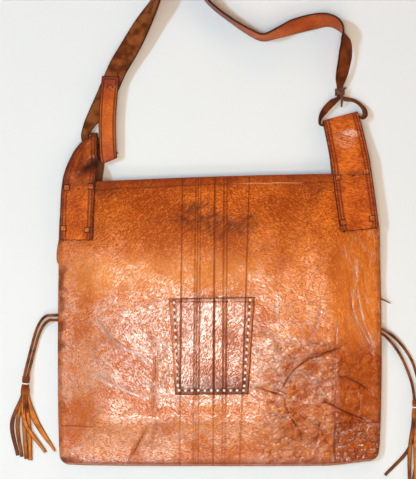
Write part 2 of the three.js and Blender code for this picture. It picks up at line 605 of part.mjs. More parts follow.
// The origin lies under the middle of the bag and its strap
const box = new THREE.Box3();
for (const mesh of [...panels, ...straps]) {
  box.expandByObject(mesh);
}
const middle = box.getCenter(new THREE.Vector3());
bag.position.set(-middle.x, -middle.y, -box.min.z);

export default group;
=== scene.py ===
# %% [markdown]
# # A worn leather shoulder bag
# The bag lies flat on its back on a pale table and is seen from straight above. Its solids are already
# packed as a frame, so this lesson only dresses them: every piece is modelled again where its solid lies,
# with the creases, tooling, lacing and worn hide that a plain solid can't show.

# %% Load the frame
import math
from types import SimpleNamespace

import bmesh
import bpy
from mathutils import Matrix, Vector


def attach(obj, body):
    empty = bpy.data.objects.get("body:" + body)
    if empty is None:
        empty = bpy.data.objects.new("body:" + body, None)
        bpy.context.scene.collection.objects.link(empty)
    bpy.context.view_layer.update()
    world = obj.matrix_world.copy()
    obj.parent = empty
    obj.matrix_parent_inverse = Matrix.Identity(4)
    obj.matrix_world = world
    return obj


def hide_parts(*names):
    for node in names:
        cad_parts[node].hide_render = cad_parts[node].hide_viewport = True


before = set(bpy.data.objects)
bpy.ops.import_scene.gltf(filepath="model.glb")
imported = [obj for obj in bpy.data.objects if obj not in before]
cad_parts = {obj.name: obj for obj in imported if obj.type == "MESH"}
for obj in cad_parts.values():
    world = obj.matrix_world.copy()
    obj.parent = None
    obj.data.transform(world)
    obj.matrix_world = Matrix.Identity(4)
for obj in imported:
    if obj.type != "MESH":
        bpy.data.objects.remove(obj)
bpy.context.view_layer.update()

# %% [markdown]
# The bag was measured in millimetres from the middle of its bottom edge. The frame's origin lies under the
# middle of bag and strap, in metres. One matrix carries the first to the second, so every table below can
# keep the bag's own millimetres.

# %% Millimetres to the frame
ORIGIN = Vector((0.747, 259.645, 0.0))
TO_FRAME = Matrix.Scale(0.001, 4) @ Matrix.Translation(-ORIGIN)


def in_frame(x, y, z):
    return TO_FRAME @ Vector((x, y, z))


def lerp(a, b, share):
    return a + (b - a) * share


def clamp(value, low=0.0, high=1.0):
    return max(low, min(high, value))


def smooth(value, low, high):
    share = clamp((value - low) / (high - low))
    return share * share * (3 - 2 * share)


# %% [markdown]
# The photograph was taken from straight above, about 1.3 m over the table. A camera with no rotation looks
# down its own -Z with +Y up in the picture, so it only has to be put over the middle of the picture. Its
# lens follows from the height and from how many millimetres of table the picture's height shows.

# %% Camera
CAMERA_HEIGHT = 1300
PICTURE_MIDDLE = (-11.6, 237.0)
PICTURE_ROWS = 479
MM_PER_ROW = 1.06
SENSOR_HEIGHT = 24

camera_data = bpy.data.cameras.new("photo_camera")
camera_data.sensor_fit = "VERTICAL"
camera_data.sensor_height = SENSOR_HEIGHT
camera_data.lens = SENSOR_HEIGHT * CAMERA_HEIGHT / (PICTURE_ROWS * MM_PER_ROW)
camera = bpy.data.objects.new("photo_camera", camera_data)
camera.location = in_frame(*PICTURE_MIDDLE, CAMERA_HEIGHT)
bpy.context.scene.collection.objects.link(camera)
bpy.context.scene.camera = camera
print("lens:", round(camera_data.lens, 1), "mm")

# %% [markdown]
# A small bluish window to the left gives the crisp shadows to the right of each strap. What it doesn't reach
# is lit by warm walls, so those shadows are tan. A lamp hangs beside the camera, towards the bag's bottom:
# waxed leather that lies level mirrors it into the lens, which makes the white glints over the lower half.
# One lamp can't be tuned for glints and for leather at once, so this one is only mirrored, and a warm fill
# close over it is only scattered. Two weaker lamps, one low and one to the left, light the slopes that face
# them. Straight above, the room is dark, so the upper half keeps its deep colour.

# %% Lights
LAMPS = {
    "window": {
        "place": (-3416, 1114, 3536), "aim": (0, 200, 0), "size": (500, 500),
        "power": 156, "colour": (0.38, 0.67, 0.94), "mirrored": False,
    },
    "lamp_by_camera": {
        "place": (-70, -50, 1400), "aim": (-20, 130, 0), "size": (620, 520),
        "power": 8.2, "colour": (0.97, 1.0, 1.0), "scattered": False,
    },
    "warm_fill": {
        "place": (-70, -50, 1470), "aim": (-20, 130, 0), "size": (620, 520),
        "power": 8.6, "colour": (1.0, 0.88, 0.70), "mirrored": False,
    },
    "low_lamp": {
        "place": (-50, -760, 1150), "aim": (-20, 60, 0), "size": (800, 420),
        "power": 4.2, "colour": (1.0, 0.95, 0.87),
    },
    "left_lamp": {
        "place": (-900, 60, 1280), "aim": (-130, 130, 0), "size": (460, 620),
        "power": 2.3, "colour": (1.0, 0.95, 0.87),
    },
    "warm_wall_right": {
        "place": (3000, 400, 1400), "aim": (0, 150, 0), "size": (2000, 1500),
        "power": 25, "colour": (1.0, 0.68, 0.48),
    },
    "warm_wall_top": {
        "place": (0, 3400, 1600), "aim": (0, 250, 0), "size": (2200, 1500),
        "power": 32, "colour": (1.0, 0.58, 0.30),
    },
}
ROOM_TINT = (1.0, 0.94, 0.85, 1.0)
ROOM_STRENGTH = 0.15


def soft_light(name, place, aim, size, power, colour, mirrored=True, scattered=True):
    """A soft rectangle of light that polished things mirror, and that dull things scatter."""
    data = bpy.data.lights.new(name, "AREA")
    data.shape = "RECTANGLE"
    data.size = size[0] / 1000
    data.size_y = size[1] / 1000
    data.energy = power
    data.color = colour
    lamp = bpy.data.objects.new(name, data)
    lamp.location = in_frame(*place)
    towards = in_frame(*aim) - lamp.location
    lamp.rotation_euler = towards.to_track_quat("-Z", "Y").to_euler()
    lamp.visible_glossy = mirrored
    lamp.visible_diffuse = scattered
    bpy.context.scene.collection.objects.link(lamp)


for name, settings in LAMPS.items():
    soft_light(name, **settings)
world = bpy.data.worlds.new("dim_room")
world.use_nodes = True
world.node_tree.nodes["Background"].inputs["Color"].default_value = ROOM_TINT
world.node_tree.nodes["Background"].inputs["Strength"].default_value = ROOM_STRENGTH
bpy.context.scene.world = world
bpy.context.scene.view_settings.view_transform = "Standard"
print("lights:", list(LAMPS))

# %% [markdown]
# Finishes are built from nodes. A small class wraps one socket, so that sums can be written as plain Python
# expressions. Another holds a material's tree and adds any node by its type, its settings and its sockets.
# Leather is mixed from two surfaces, dull hide and waxed hide, so that the wax can lie in patches.

# %% Node helpers
# The waxed surface, and the pale colour mixed into it: painted sheen that makes its glints whiter
WAX_ROUGHNESS = 0.25
WAX_IOR = 2.4
WAX_SHEEN_PALING = 0.2
WAX_SHEEN_PALE = (0.45, 0.42, 0.40, 1)
DULL = {"Specular_IOR_Level": 0.1}


class Value:
    """One output socket that Python's operators work on."""

    def __init__(self, finish, socket):
        self.finish = finish
        self.socket = socket

    def math(self, operation, *others):
        sockets = dict(enumerate((self, *others)))
        return self.finish.add("ShaderNodeMath", {"operation": operation}, sockets)

    def from_left(self, operation, left):
        return self.finish.add("ShaderNodeMath", {"operation": operation}, {0: left, 1: self})

    def __add__(self, other):
        return self.math("ADD", other)

    def __radd__(self, other):
        return self.from_left("ADD", other)

    def __sub__(self, other):
        return self.math("SUBTRACT", other)

    def __rsub__(self, other):
        return self.from_left("SUBTRACT", other)

    def __mul__(self, other):
        return self.math("MULTIPLY", other)

    def __rmul__(self, other):
        return self.from_left("MULTIPLY", other)

    def __truediv__(self, other):
        return self.math("DIVIDE", other)

    def __abs__(self):
        return self.math("ABSOLUTE")


class Finish:
    """A material's node tree, with a method that adds any node."""

    def __init__(self, name):
        self.material = bpy.data.materials.new(name)
        self.material.use_nodes = True
        self.tree = self.material.node_tree
        self.tree.nodes.clear()

    def add(self, kind, settings=None, sockets=None, output=0):
        node = self.tree.nodes.new(kind)
        for key, setting in (settings or {}).items():
            setattr(node, key, setting)
        for key, value in (sockets or {}).items():
            if isinstance(value, Value):
                self.tree.links.new(value.socket, node.inputs[key])
            else:
                node.inputs[key].default_value = value
        return Value(self, node.outputs[output]) if node.outputs else None

    def step(self, value, low, high, out_low=0.0, out_high=1.0):
        """A soft step: out_low below low, out_high above high."""
        sockets = {"Value": value, "From Min": low, "From Max": high, "To Min": out_low, "To Max": out_high}
        return self.add("ShaderNodeMapRange", {"interpolation_type": "SMOOTHSTEP"}, sockets)

    def mix(self, share, first, second):
        """A colour between two colours."""
        sockets = {"Factor": share, 6: first, 7: second}
        return self.add("ShaderNodeMix", {"data_type": "RGBA"}, sockets, 2)

    def lay(self, colour, *coats):
        """Coats over a colour, one after another: how much of it each covers, and its tone."""
        for share, tone in coats:
            colour = self.mix(share, colour, tone)
        return colour

    def mark(self, name):
        """A number stored on the mesh's points."""
        return self.add("ShaderNodeAttribute", {"attribute_name": name}, {}, "Fac")

    def millimetres(self):
        """Object coordinates as the bag's own millimetres."""
        place = self.add("ShaderNodeTexCoord", {}, {}, "Object")
        scaled = self.add("ShaderNodeVectorMath", {"operation": "SCALE"}, {0: place, "Scale": 1000})
        return self.add("ShaderNodeVectorMath", {"operation": "ADD"}, {0: scaled, 1: ORIGIN})

    def axes(self, vector):
        node = self.add("ShaderNodeSeparateXYZ", {}, {0: vector}).socket.node
        return [Value(self, out) for out in node.outputs]

    def noise(self, vector, per_mm, detail=2.0, rough=0.5):
        sockets = {"Vector": vector, "Scale": per_mm, "Detail": detail, "Roughness": rough}
        return self.add("ShaderNodeTexNoise", {}, sockets)

    def finish(self, colour, roughness, height, bump=1.0, wax=None, sheen_paling=WAX_SHEEN_PALING, **constants):
        """The surface itself. Height is in millimetres, wax is how much of a place is polished."""
        normal = self.add("ShaderNodeBump", {}, {"Height": height, "Distance": 0.001, "Strength": bump})
        settings = {key.replace("_", " "): value for key, value in constants.items()}
        skin = {"Base Color": colour, "Normal": normal, "Roughness": roughness, **settings}
        surface = self.add("ShaderNodeBsdfPrincipled", {}, skin)
        if wax:
            # Painted sheen: the waxed surface's colour is paled, so that its glints look whiter.
            paled_for_sheen = self.mix(sheen_paling, colour, WAX_SHEEN_PALE)
            skin = {"Base Color": paled_for_sheen, "Normal": normal, "Roughness": WAX_ROUGHNESS, "IOR": WAX_IOR}
            polish = self.add("ShaderNodeBsdfPrincipled", {}, skin)
            surface = self.add("ShaderNodeMixShader", {}, {0: wax, 1: surface, 2: polish})
        self.add("ShaderNodeOutputMaterial", {}, {"Surface": surface})
        print("finish:", self.material.name, len(self.tree.nodes), "nodes")
        return self.material


# %% [markdown]
# The table is one large level sheet, just off white. It isn't part of the bag.

# %% Table
TABLE_SIZE = 2.5
TABLE_WHITES = ((0.80, 0.80, 0.785, 1), (0.84, 0.845, 0.84, 1))

table_finish = Finish("pale_table")
table_mm = table_finish.millimetres()
table_white = table_finish.mix(table_finish.noise(table_mm, 0.004), *TABLE_WHITES)
table_paper = table_finish.finish(table_white, 0.7, table_finish.noise(table_mm, 0.6), 0.03)
table_mesh = bmesh.new()
bmesh.ops.create_grid(table_mesh, x_segments=4, y_segments=4, size=TABLE_SIZE)
table_data = bpy.data.meshes.new("table")
table_mesh.to_mesh(table_data)
table_mesh.free()
table = bpy.data.objects.new("table", table_data)
table_data.materials.append(table_paper)
bpy.context.scene.collection.objects.link(table)

# %% [markdown]
# Curves through the rows of a table are needed again and again: for the thongs, and for every band of
# leather. This one passes through each row. It is eased by the distance between rows, so it makes no loops
# where they are close.

# %% A curve through rows


def curve_through(rows):
    points = [Vector(row) for row in rows]
    before = points[0] * 2 - points[1]
    after = points[-1] * 2 - points[-2]
    chain = [before, *points, after]

    def at(share):
        step = min(int(share * (len(points) - 1)), len(points) - 2)
        t = share * (len(points) - 1) - step
        p0, p1, p2, p3 = chain[step : step + 4]
        gap1 = max((p2 - p1).length ** 0.5, 1e-4)
        gap0 = (p1 - p0).length ** 0.5 or gap1
        gap2 = (p3 - p2).length ** 0.5 or gap1
        start = ((p1 - p0) / gap0 - (p2 - p0) / (gap0 + gap1) + (p2 - p1) / gap1) * gap1
        end = ((p2 - p1) / gap1 - (p3 - p1) / (gap1 + gap2) + (p3 - p2) / gap2) * gap1
        bend = (p2 - p1) * 3 - start * 2 - end
        twist = (p1 - p2) * 2 + start + end
        return p1 + start * t + bend * t * t + twist * t * t * t

    return at


# %% [markdown]
# Small parts need only a plain finish: two tones and a little bump. On lace, thongs and knots the tones lie
# in soft patches under a finer grain. On the near-black, which is dark thread and also the painted shade in
# holes and round knots, and on rivets, one fine noise gives both the tones and the bump.

# %% Finishes of small parts


def patchy_finish(name, tones, patch_per_mm, grain_per_mm, detail, roughness, bump, **constants):
    """Two tones in soft patches, with a finer grain over them."""
    part = Finish(name)
    mm = part.millimetres()
    patches = part.step(part.noise(mm, patch_per_mm, detail), 0.35, 0.65)
    grain = part.noise(mm, grain_per_mm, detail)
    return part.finish(part.mix(patches, *tones), roughness, grain, bump, **constants)


def speckled_finish(name, tones, specks_per_mm, roughness, bump, **constants):
    """Two tones in fine specks that are also its bump."""
    part = Finish(name)
    specks = part.noise(part.millimetres(), specks_per_mm, 2)
    return part.finish(part.mix(specks, *tones), roughness, specks, bump, **constants)


THONG_BROWNS = ((0.085, 0.017, 0.004, 1), (0.30, 0.070, 0.012, 1))
LACE_CREAMS = ((0.90, 0.84, 0.74, 1), (0.98, 0.97, 0.94, 1))
KNOT_TANS = ((0.36, 0.052, 0.004, 1), (0.74, 0.18, 0.030, 1))
TIE_BROWNS = ((0.045, 0.012, 0.005, 1), (0.19, 0.045, 0.013, 1))
# Near-black for dark thread, and for painted shade in holes and round knots
THREAD_AND_SHADE_BLACKS = ((0.008, 0.005, 0.004, 1), (0.035, 0.014, 0.008, 1))
RIVET_GREENS = ((0.05, 0.055, 0.03, 1), (0.15, 0.17, 0.10, 1))

thong_leather = patchy_finish("thong_leather", THONG_BROWNS, 0.12, 0.5, 3, 0.6, 0.5, Specular_IOR_Level=0.2)
cream_lace = patchy_finish("cream_lace", LACE_CREAMS, 0.25, 1.2, 2, 0.6, 0.4)
knot_leather = patchy_finish("knot_leather", KNOT_TANS, 0.3, 0.7, 3, 0.5, 0.5, **DULL)
tie_leather = patchy_finish("tie_leather", TIE_BROWNS, 0.25, 0.6, 3, 0.55, 0.6)
dark_thread_and_shade = speckled_finish("dark_thread_and_shade", THREAD_AND_SHADE_BLACKS, 0.8, 0.7, 0.3)
tarnished_rivet = speckled_finish("tarnished_rivet", RIVET_GREENS, 0.7, 0.6, 0.4, Metallic=0.3)

# %% [markdown]
# Two round thongs leave each side seam and run down to a tassel. Each is one open curve with a round bevel,
# along the same points as its solid, then on into the tassel, where the leather strips are bound to it.

# %% Thongs
THONG_DIAMETER = 3.0
THONG_STEPS = 36
THONG_ROUTES = {
    "thong_left_upper": [
        (-169.4, 157.2, 6.4), (-172.6, 157, 6), (-182, 156.4, 4.4), (-188.2, 151.2, 2.4),
        (-193.9, 139.6, 1.7), (-198.4, 123.6, 1.7), (-202.4, 107.6, 2.2), (-205.6, 93.1, 3.6),
        (-206, 84, 4), (-206.4, 70, 3.8), (-206.2, 54, 3.2),
    ],
    "thong_left_lower": [
        (-169.4, 152.2, 6.4), (-172.6, 152, 6), (-179.6, 151.4, 4.4), (-185.4, 146.2, 2.4),
        (-190.6, 136, 1.7), (-195, 121, 1.7), (-199, 105, 2.2), (-201.8, 93.1, 3.6),
        (-203, 84, 4), (-203.4, 70, 3.8), (-202.8, 54, 3.2),
    ],
    "thong_right_upper": [
        (170.6, 143, 6.4), (174.2, 141.2, 6), (184.4, 134.2, 4.4), (196, 121.8, 2.2),
        (204, 108.8, 1.7), (209.2, 94, 1.7), (211.2, 79.8, 2.2), (210.2, 68, 3.6),
        (209.6, 58, 4), (209.4, 44, 3.8), (209.6, 30, 3.2),
    ],
    "thong_right_lower": [
        (170.6, 138, 6.4), (174.2, 136, 6), (181.6, 128.6, 4.4), (192, 114.2, 2.2),
        (200, 97.2, 1.7), (204.8, 81.9, 2), (206.4, 68, 3.6), (206.6, 58, 4),
        (206.4, 44, 3.8), (206.4, 30, 3.2),
    ],
}

thongs = {}
for name, route in THONG_ROUTES.items():
    line = curve_through(route)
    data = bpy.data.curves.new(name + "_cord", "CURVE")
    data.dimensions = "3D"
    data.bevel_depth = THONG_DIAMETER / 2000
    data.bevel_resolution = 3
    data.use_fill_caps = True
    spline = data.splines.new("POLY")
    spline.points.add(THONG_STEPS - 1)
    points = [in_frame(*line(i / (THONG_STEPS - 1))) for i in range(THONG_STEPS)]
    for knot, point in zip(spline.points, points):
        knot.co = (*point, 1)
    data.materials.append(thong_leather)
    thong = bpy.data.objects.new(name + "_cord", data)
    bpy.context.scene.collection.objects.link(thong)
    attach(thong, "root")
    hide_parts(name)
    length = sum((b - a).length for a, b in zip(points, points[1:]))
    thongs[name] = (thong, points[0], length)
    print(name, "length", round(length * 1000), "mm")

# %% [markdown]
# Nearly everything else is leather sheet. A sheet starts as a flat grid. Each point is carried to its place
# on a curved surface, the grid is extruded once, and the two layers part along the surface's own normals.
# Worn hide has rounded cut edges, so the layers come closer at the rim. Numbers for the finishes ride on the
# points: which face a point is on, how far it is from the rim, how far across and along the piece it lies,
# and how deep it lies in a crease, which sets the painted shade there.

# %% Leather sheets
MARKS = ("side", "rim", "across", "along", "crease")
# How far in from the rim a sheet is rounded, and how thick it is there, as shares of its thickness
ROUNDED_RIM = 0.6
RIM_THICKNESS = 0.5


def new_leather():
    bm = bmesh.new()
    bm.verts.layers.float_vector.new("out")
    bm.verts.layers.float.new("half")
    for name in MARKS:
        bm.verts.layers.float.new(name)
    return bm


def add_sheet(bm, place, thickness, across, along, marks):
    """place(u, v) is the middle surface in millimetres, marks(u, v) holds numbers named in MARKS."""
    out = bm.verts.layers.float_vector["out"]
    half = bm.verts.layers.float["half"]
    layers = {name: bm.verts.layers.float[name] for name in MARKS}
    made = bmesh.ops.create_grid(bm, x_segments=across, y_segments=along, size=0.5)["verts"]
    reach = max(abs(vert.co.x) for vert in made)
    for vert in made:
        u = clamp(0.5 + vert.co.x / reach / 2)
        v = clamp(0.5 + vert.co.y / reach / 2)
        for name, number in marks(u, v).items():
            vert[layers[name]] = number
        vert.co = place(u, v)
    bm.normal_update()
    for vert in made:
        vert[out] = vert.normal
        worn = clamp(vert[layers["rim"]] / (ROUNDED_RIM * thickness))
        vert[half] = thickness / 2 * lerp(RIM_THICKNESS, 1.0, math.sqrt(worn * (2 - worn)))
    faces = list({face for vert in made for face in vert.link_faces})
    top = bmesh.ops.extrude_face_region(bm, geom=faces, use_keep_orig=True)["geom"]
    upper = [item for item in top if isinstance(item, bmesh.types.BMVert)]
    for verts, sign in ((made, -1), (upper, 1)):
        for vert in verts:
            vert.co += vert[out] * vert[half] * sign
            vert[layers["side"]] = sign


def make_piece(bm, name, material, nodes=(), sharp=50):
    """Turns a finished bmesh into an object of the bag."""
    bmesh.ops.transform(bm, matrix=TO_FRAME, verts=bm.verts)
    bmesh.ops.recalc_face_normals(bm, faces=bm.faces)
    for face in bm.faces:
        face.smooth = True
    mesh = bpy.data.meshes.new(name)
    bm.to_mesh(mesh)
    bm.free()
    mesh.set_sharp_from_angle(angle=math.radians(sharp))
    mesh.materials.append(material)
    obj = bpy.data.objects.new(name, mesh)
    bpy.context.scene.collection.objects.link(obj)
    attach(obj, "root")
    if nodes:
        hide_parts(*nodes)
    mesh.calc_loop_triangles()
    print(name, len(mesh.loop_triangles), "triangles")
    return obj


# %% [markdown]
# The pouch is two hides joined at the sides and the bottom. The front one rolls over at those edges, rises
# in three slopes to a level middle, and comes down again to the open mouth. The same few sizes as the
# solid's give that form here, on a much finer grid.

# %% Sizes of the pouch
LEATHER = 2.0
SEAM_GAP = 0.8
HALF_WIDTH = 167.5
LEFT_BULGE = 2.5
RIGHT_BULGE = 4.0
BULGE_SKEW = 0.7
LEFT_NIP = 3.5
RIGHT_NIP = 10.0
NIP_FROM = 245.0
MOUTH_Y = 301.0
MOUTH_SLANT = 5.2
MOUTH_BOW = 2.2
BOTTOM_SAG = 1.8
CORNER_RADIUS = 10.0
CORNER_LIFT = 4.0
CORNER_LIFT_FROM = 110.0
BODY_DEPTH = 21.0
MOUTH_DEPTH = 11.0
MOUTH_FALL = 115.0
LEFT_SLOPE = 62.0
RIGHT_SLOPE = 64.0
BOTTOM_SLOPE = 62.0
EDGE_ROLL = 6.5
MOUTH_ROLL = 5.0
BACK_RAISE = 2.4
BACK_INSET = 0.6
# Where the back rises to its full raise, out from the middle and up from the bottom
BACK_RAISE_ACROSS = (80, 104)
BACK_RAISE_UP = (190, 240)
ROLL_TIGHTENS_FROM = 180
# Folds and creases fade in between these distances from the edge
FOLD_FADE = (2, 20)
print("pouch:", 2 * HALF_WIDTH, "mm wide,", MOUTH_Y, "mm high,", BODY_DEPTH, "mm deep")

# %% [markdown]
# Old leather keeps every bend. Wide folds are rounded ridges and valleys along a straight line, and the solid
# has them too. Creases are sharp and narrow, and run through a few points each. They are too fine for the
# solid, so only the front's grid has them. Both lists were followed as one would draw them.

# %% Folds and creases
# Folds that the solid has too: from and to on the front, height and width
FOLDS = [
    ("bottom ridge left", -122, 47, -8, 52, 1.6, 9),
    ("bottom ridge right", -6, 52, 112, 49, 1.6, 9),
    ("valley over the ridge", -100, 66, 92, 68, -1.0, 10),
    ("left ridge", -131, 52, -133, 225, 0.6, 11),
    ("right ridge", 121, 44, 122, 150, 2, 9),
    ("crease to the pocket", 124, 121, 80, 100, -3.6, 9),
    ("crease to the side", 121, 98, 156, 82, -3.2, 9),
    ("crease at the corner", 112, 68, 158, 48, -3.6, 9),
    ("swelling right of pocket", 62, 150, 96, 128, 2.6, 20),
    ("swelling left of pocket", -108, 120, -84, 160, 2.2, 22),
]
# Sharper creases, which also lay painted shade on the hide: depth, width, then the points that each runs
# through
CREASES = [
    (
        "trunk left of the pocket", 1.2, 2.4,
        (-72, 146), (-68, 134), (-65, 122), (-67, 108), (-66, 95), (-69, 76), (-67, 57), (-62, 49),
    ),
    ("branch to the pocket", 1.0, 2.4, (-66, 108), (-60, 115), (-55, 131), (-53, 143)),
    ("low branch", 0.8, 2.6, (-61, 77), (-56, 96), (-49, 105)),
    ("fan to the trunk", 0.7, 3.0, (-124, 143), (-103, 126), (-84, 117), (-70, 103)),
    ("low fan", 0.6, 3.0, (-129, 96), (-108, 84), (-91, 77), (-70, 72)),
    ("diagonal groove", 2.0, 2.8, (-74, 44), (-91, 10), (-98, 1)),
    ("second groove", 1.2, 2.4, (-63, 48), (-70, 29), (-74, 17)),
    ("third groove", 0.7, 2.4, (-63, 46), (-60, 36), (-67, 10)),
    ("corner of the ridge", 1.0, 2.8, (-122, 62), (-131, 51), (-138, 42)),
    ("slanting from the left ridge", 0.8, 3.4, (-129, 155), (-109, 129), (-99, 121)),
    (
        "main crease", 2.6, 3.6,
        (128, 124), (113, 120), (105, 116), (94, 113), (84, 106), (77, 100), (69, 88), (65, 81),
    ),
    ("pillow top", 1.5, 2.8, (89, 125), (98, 129), (112, 127), (120, 124)),
    ("pillow foot", 1.1, 2.6, (89, 118), (105, 119), (113, 121)),
    ("side crease", 2.2, 3.4, (120, 95), (132, 93), (143, 88), (151, 83), (162, 74)),
    ("corner crease", 2.4, 3.4, (103, 67), (112, 67), (120, 63), (131, 57), (144, 51), (157, 46)),
    ("low beside the pocket", 2.2, 3.4, (35, 84), (46, 81), (58, 77), (68, 75)),
    ("down to the bottom", 2.0, 3.2, (68, 75), (69, 63), (74, 53), (80, 44), (85, 36), (87, 22)),
    ("under the bottom ridge", 1.3, 3.0, (53, 55), (61, 54), (70, 51), (77, 49)),
    ("across low", 1.2, 3.0, (69, 65), (79, 65), (91, 65), (101, 66)),
    ("upright low", 1.5, 3.0, (103, 53), (105, 41), (103, 29), (101, 20)),
    ("slit at the corner square", 1.7, 2.2, (121, 38), (121, 5)),
    ("round the swelling", 1.3, 3.0, (36, 140), (46, 141), (56, 138), (61, 131), (60, 115), (58, 107)),
    ("upright beside the swelling", 0.8, 3.0, (60, 183), (60, 152)),
    ("left of the facet", 1.0, 3.0, (94, 133), (101, 147), (106, 162), (108, 167)),
    ("right slope", 1.2, 3.0, (138, 181), (139, 164), (143, 153), (150, 140), (157, 127), (163, 115)),
    ("right slope outer", 1.0, 2.8, (144, 183), (148, 164), (151, 150), (157, 136), (164, 122)),
    ("facet middle", 1.3, 2.8, (105, 101), (112, 103), (122, 108)),
    ("facet low", 1.2, 2.8, (98, 88), (105, 91), (112, 95), (120, 95)),
    ("facet rising", 1.1, 2.8, (108, 70), (105, 81), (98, 88), (91, 93), (79, 98)),
    ("net low", 0.9, 2.6, (77, 100), (87, 98), (98, 100)),
    ("net high", 0.9, 2.6, (69, 108), (77, 112), (87, 115)),
    ("diagonal in the square", 1.4, 2.8, (125, 19), (139, 24), (150, 32), (157, 39)),
    ("second in the square", 1.1, 2.6, (125, 34), (136, 38), (150, 43)),
    ("bottom pleat", 1.4, 2.8, (45, 24), (48, 4)),
    ("pocket corner", 0.9, 2.8, (38, 131), (42, 121), (40, 114)),
    ("right dark edge", 1.3, 3.0, (146, 77), (148, 63), (144, 51)),
    ("under the right tab", 0.7, 3.0, (130, 233), (133, 214)),
    ("right slope high", 0.7, 3.0, (142, 219), (144, 188)),
    ("right ridge step", 1.0, 3.2, (122, 150), (121, 124), (121, 96), (121, 66), (121, 46)),
]
CREASE_DEPTH = 1.45
CREASE_WIDTH = 0.65
CREASE_TAPER = 10.0
# How fast a crease's depth and its painted shade fall away from its line, and where both have gone
CREASE_FALL = 1.5
CREASE_POWER = 1.25
CREASE_MARK_FALL = 3.0
CREASE_REACH = 3
print("folds:", len(FOLDS), "creases:", len(CREASES))

# %% [markdown]
# In plan the pouch is a rectangle with a sagging bottom, bulging sides, a slanting mouth and round corners.
# A place in it is given by two shares: across from -1 to 1, and up from 0 to 1. Near a corner, squares are
# turned into circles, so the grid follows the rounding.

# %% Outline of the pouch


def ease(distance, run):
    return smooth(distance, 0, run)


def bottom_at(x):
    sag = BOTTOM_SAG * (1 - (x / HALF_WIDTH) ** 4)
    return CORNER_LIFT * smooth(x, CORNER_LIFT_FROM, HALF_WIDTH) - sag


def mouth_at(x):
    return MOUTH_Y + MOUTH_SLANT * x / HALF_WIDTH + MOUTH_BOW * (1 - (x / HALF_WIDTH) ** 2)


def side_at(x, y):
    bulge = LEFT_BULGE if x < 0 else RIGHT_BULGE
    nip = LEFT_NIP if x < 0 else RIGHT_NIP
    full = math.sin(math.pi * clamp(y / MOUTH_Y) ** BULGE_SKEW)
    return HALF_WIDTH + bulge * full - nip * smooth(y, NIP_FROM, MOUTH_Y)


def outline_place(across, up, inset):
    """A place in the pouch's outline, with its distance from the edge."""
    sign = -1 if across < 0 else 1
    bottom = bottom_at(across * HALF_WIDTH) + inset
    y = lerp(bottom, mouth_at(across * HALF_WIDTH), up)
    side = side_at(across, y) - inset
    from_side = side * (1 - abs(across))
    from_bottom = y - bottom
    edge = min(from_side, from_bottom)
    if from_side < CORNER_RADIUS and from_bottom < CORNER_RADIUS:
        a = 1 - from_side / CORNER_RADIUS
        b = 1 - from_bottom / CORNER_RADIUS
        round_a = a * math.sqrt(1 - b * b / 2)
        round_b = b * math.sqrt(1 - a * a / 2)
        from_side = CORNER_RADIUS * (1 - round_a)
        from_bottom = CORNER_RADIUS * (1 - round_b)
        edge = max(0.0, CORNER_RADIUS * (1 - math.hypot(round_a, round_b)))
    return sign * (side - from_side), bottom + from_bottom, edge


def crowd_across(u):
    return 0.5 * (2 * u - 1) - 0.5 * math.cos(math.pi * u)


def crowd_up(v):
    return 0.5 * v + 0.5 * (1 - math.cos(math.pi / 2 * v))


print("middle of the mouth:", round(mouth_at(0), 1), "mm up, of the bottom:", round(bottom_at(0), 1))

# %% [markdown]
# The height of the front is a sum: the raised back, the gap at the seam, the slopes and the folds, less the
# roll at the edge and the creases. As one formula, it also tells the tabs and the pocket how high to lie.

# %% Height of the front


def back_raise(x, y):
    return BACK_RAISE * smooth(abs(x), *BACK_RAISE_ACROSS) * smooth(y, *BACK_RAISE_UP)


def away_from(x, y, x1, y1, x2, y2):
    """Distance from a point to a stretch of line."""
    run_x = x2 - x1
    run_y = y2 - y1
    share = clamp(((x - x1) * run_x + (y - y1) * run_y) / (run_x * run_x + run_y * run_y))
    return math.hypot(x - x1 - share * run_x, y - y1 - share * run_y)


def fold_height(x, y):
    height = 0.0
    for _, x1, y1, x2, y2, rise, width in FOLDS:
        height += rise * math.exp(-((away_from(x, y, x1, y1, x2, y2) / width) ** 2))
    return height


def crease_depth(x, y):
    """How deep the sharp creases are here, and how strongly one darkens the hide with painted shade."""
    depth = 0.0
    mark = 0.0
    for _, deep, width, *points in CREASES:
        stretches = zip(points, points[1:])
        away = min(away_from(x, y, *start, *end) for start, end in stretches) / (width * CREASE_WIDTH)
        if away < CREASE_REACH:
            to_end = min(math.dist((x, y), points[0]), math.dist((x, y), points[-1]))
            deep = deep * smooth(to_end, -CREASE_TAPER / 2, CREASE_TAPER)
            depth += CREASE_DEPTH * deep * math.exp(-CREASE_FALL * away**CREASE_POWER)
            mark = max(mark, deep / 2 * math.exp(-CREASE_MARK_FALL * away * away))
    return depth, clamp(mark)


def roll_at(y):
    return lerp(EDGE_ROLL, MOUTH_ROLL, smooth(y, ROLL_TIGHTENS_FROM, MOUTH_Y))


def slope_height(x, y):
    """The front's middle surface with its slopes run out to the edge."""
    roll = roll_at(y)
    depth = lerp(MOUTH_DEPTH, BODY_DEPTH, smooth(mouth_at(x) - y, 0, MOUTH_FALL))
    side = side_at(x, y)
    rise = ease(side + x, LEFT_SLOPE) * ease(side - x, RIGHT_SLOPE) * ease(y - bottom_at(x), BOTTOM_SLOPE)
    return back_raise(x, y) + LEATHER + SEAM_GAP + roll + (depth - roll) * rise


def front_height(x, y, edge=None, fine=True):
    """The front's middle surface, rolled over at its edges."""
    if edge is None:
        edge = min(side_at(x, y) - abs(x), y - bottom_at(x))
    turn = 1 - clamp(edge / roll_at(y))
    fall = roll_at(y) * (1 - math.sqrt(max(0.0, 1 - turn * turn)))
    folds = fold_height(x, y) - (crease_depth(x, y)[0] if fine else 0)
    return slope_height(x, y) - fall + folds * smooth(edge, *FOLD_FADE)


print("front middle:", round(front_height(0, 150), 1), "mm high, mouth:", round(front_height(0, 300), 1))

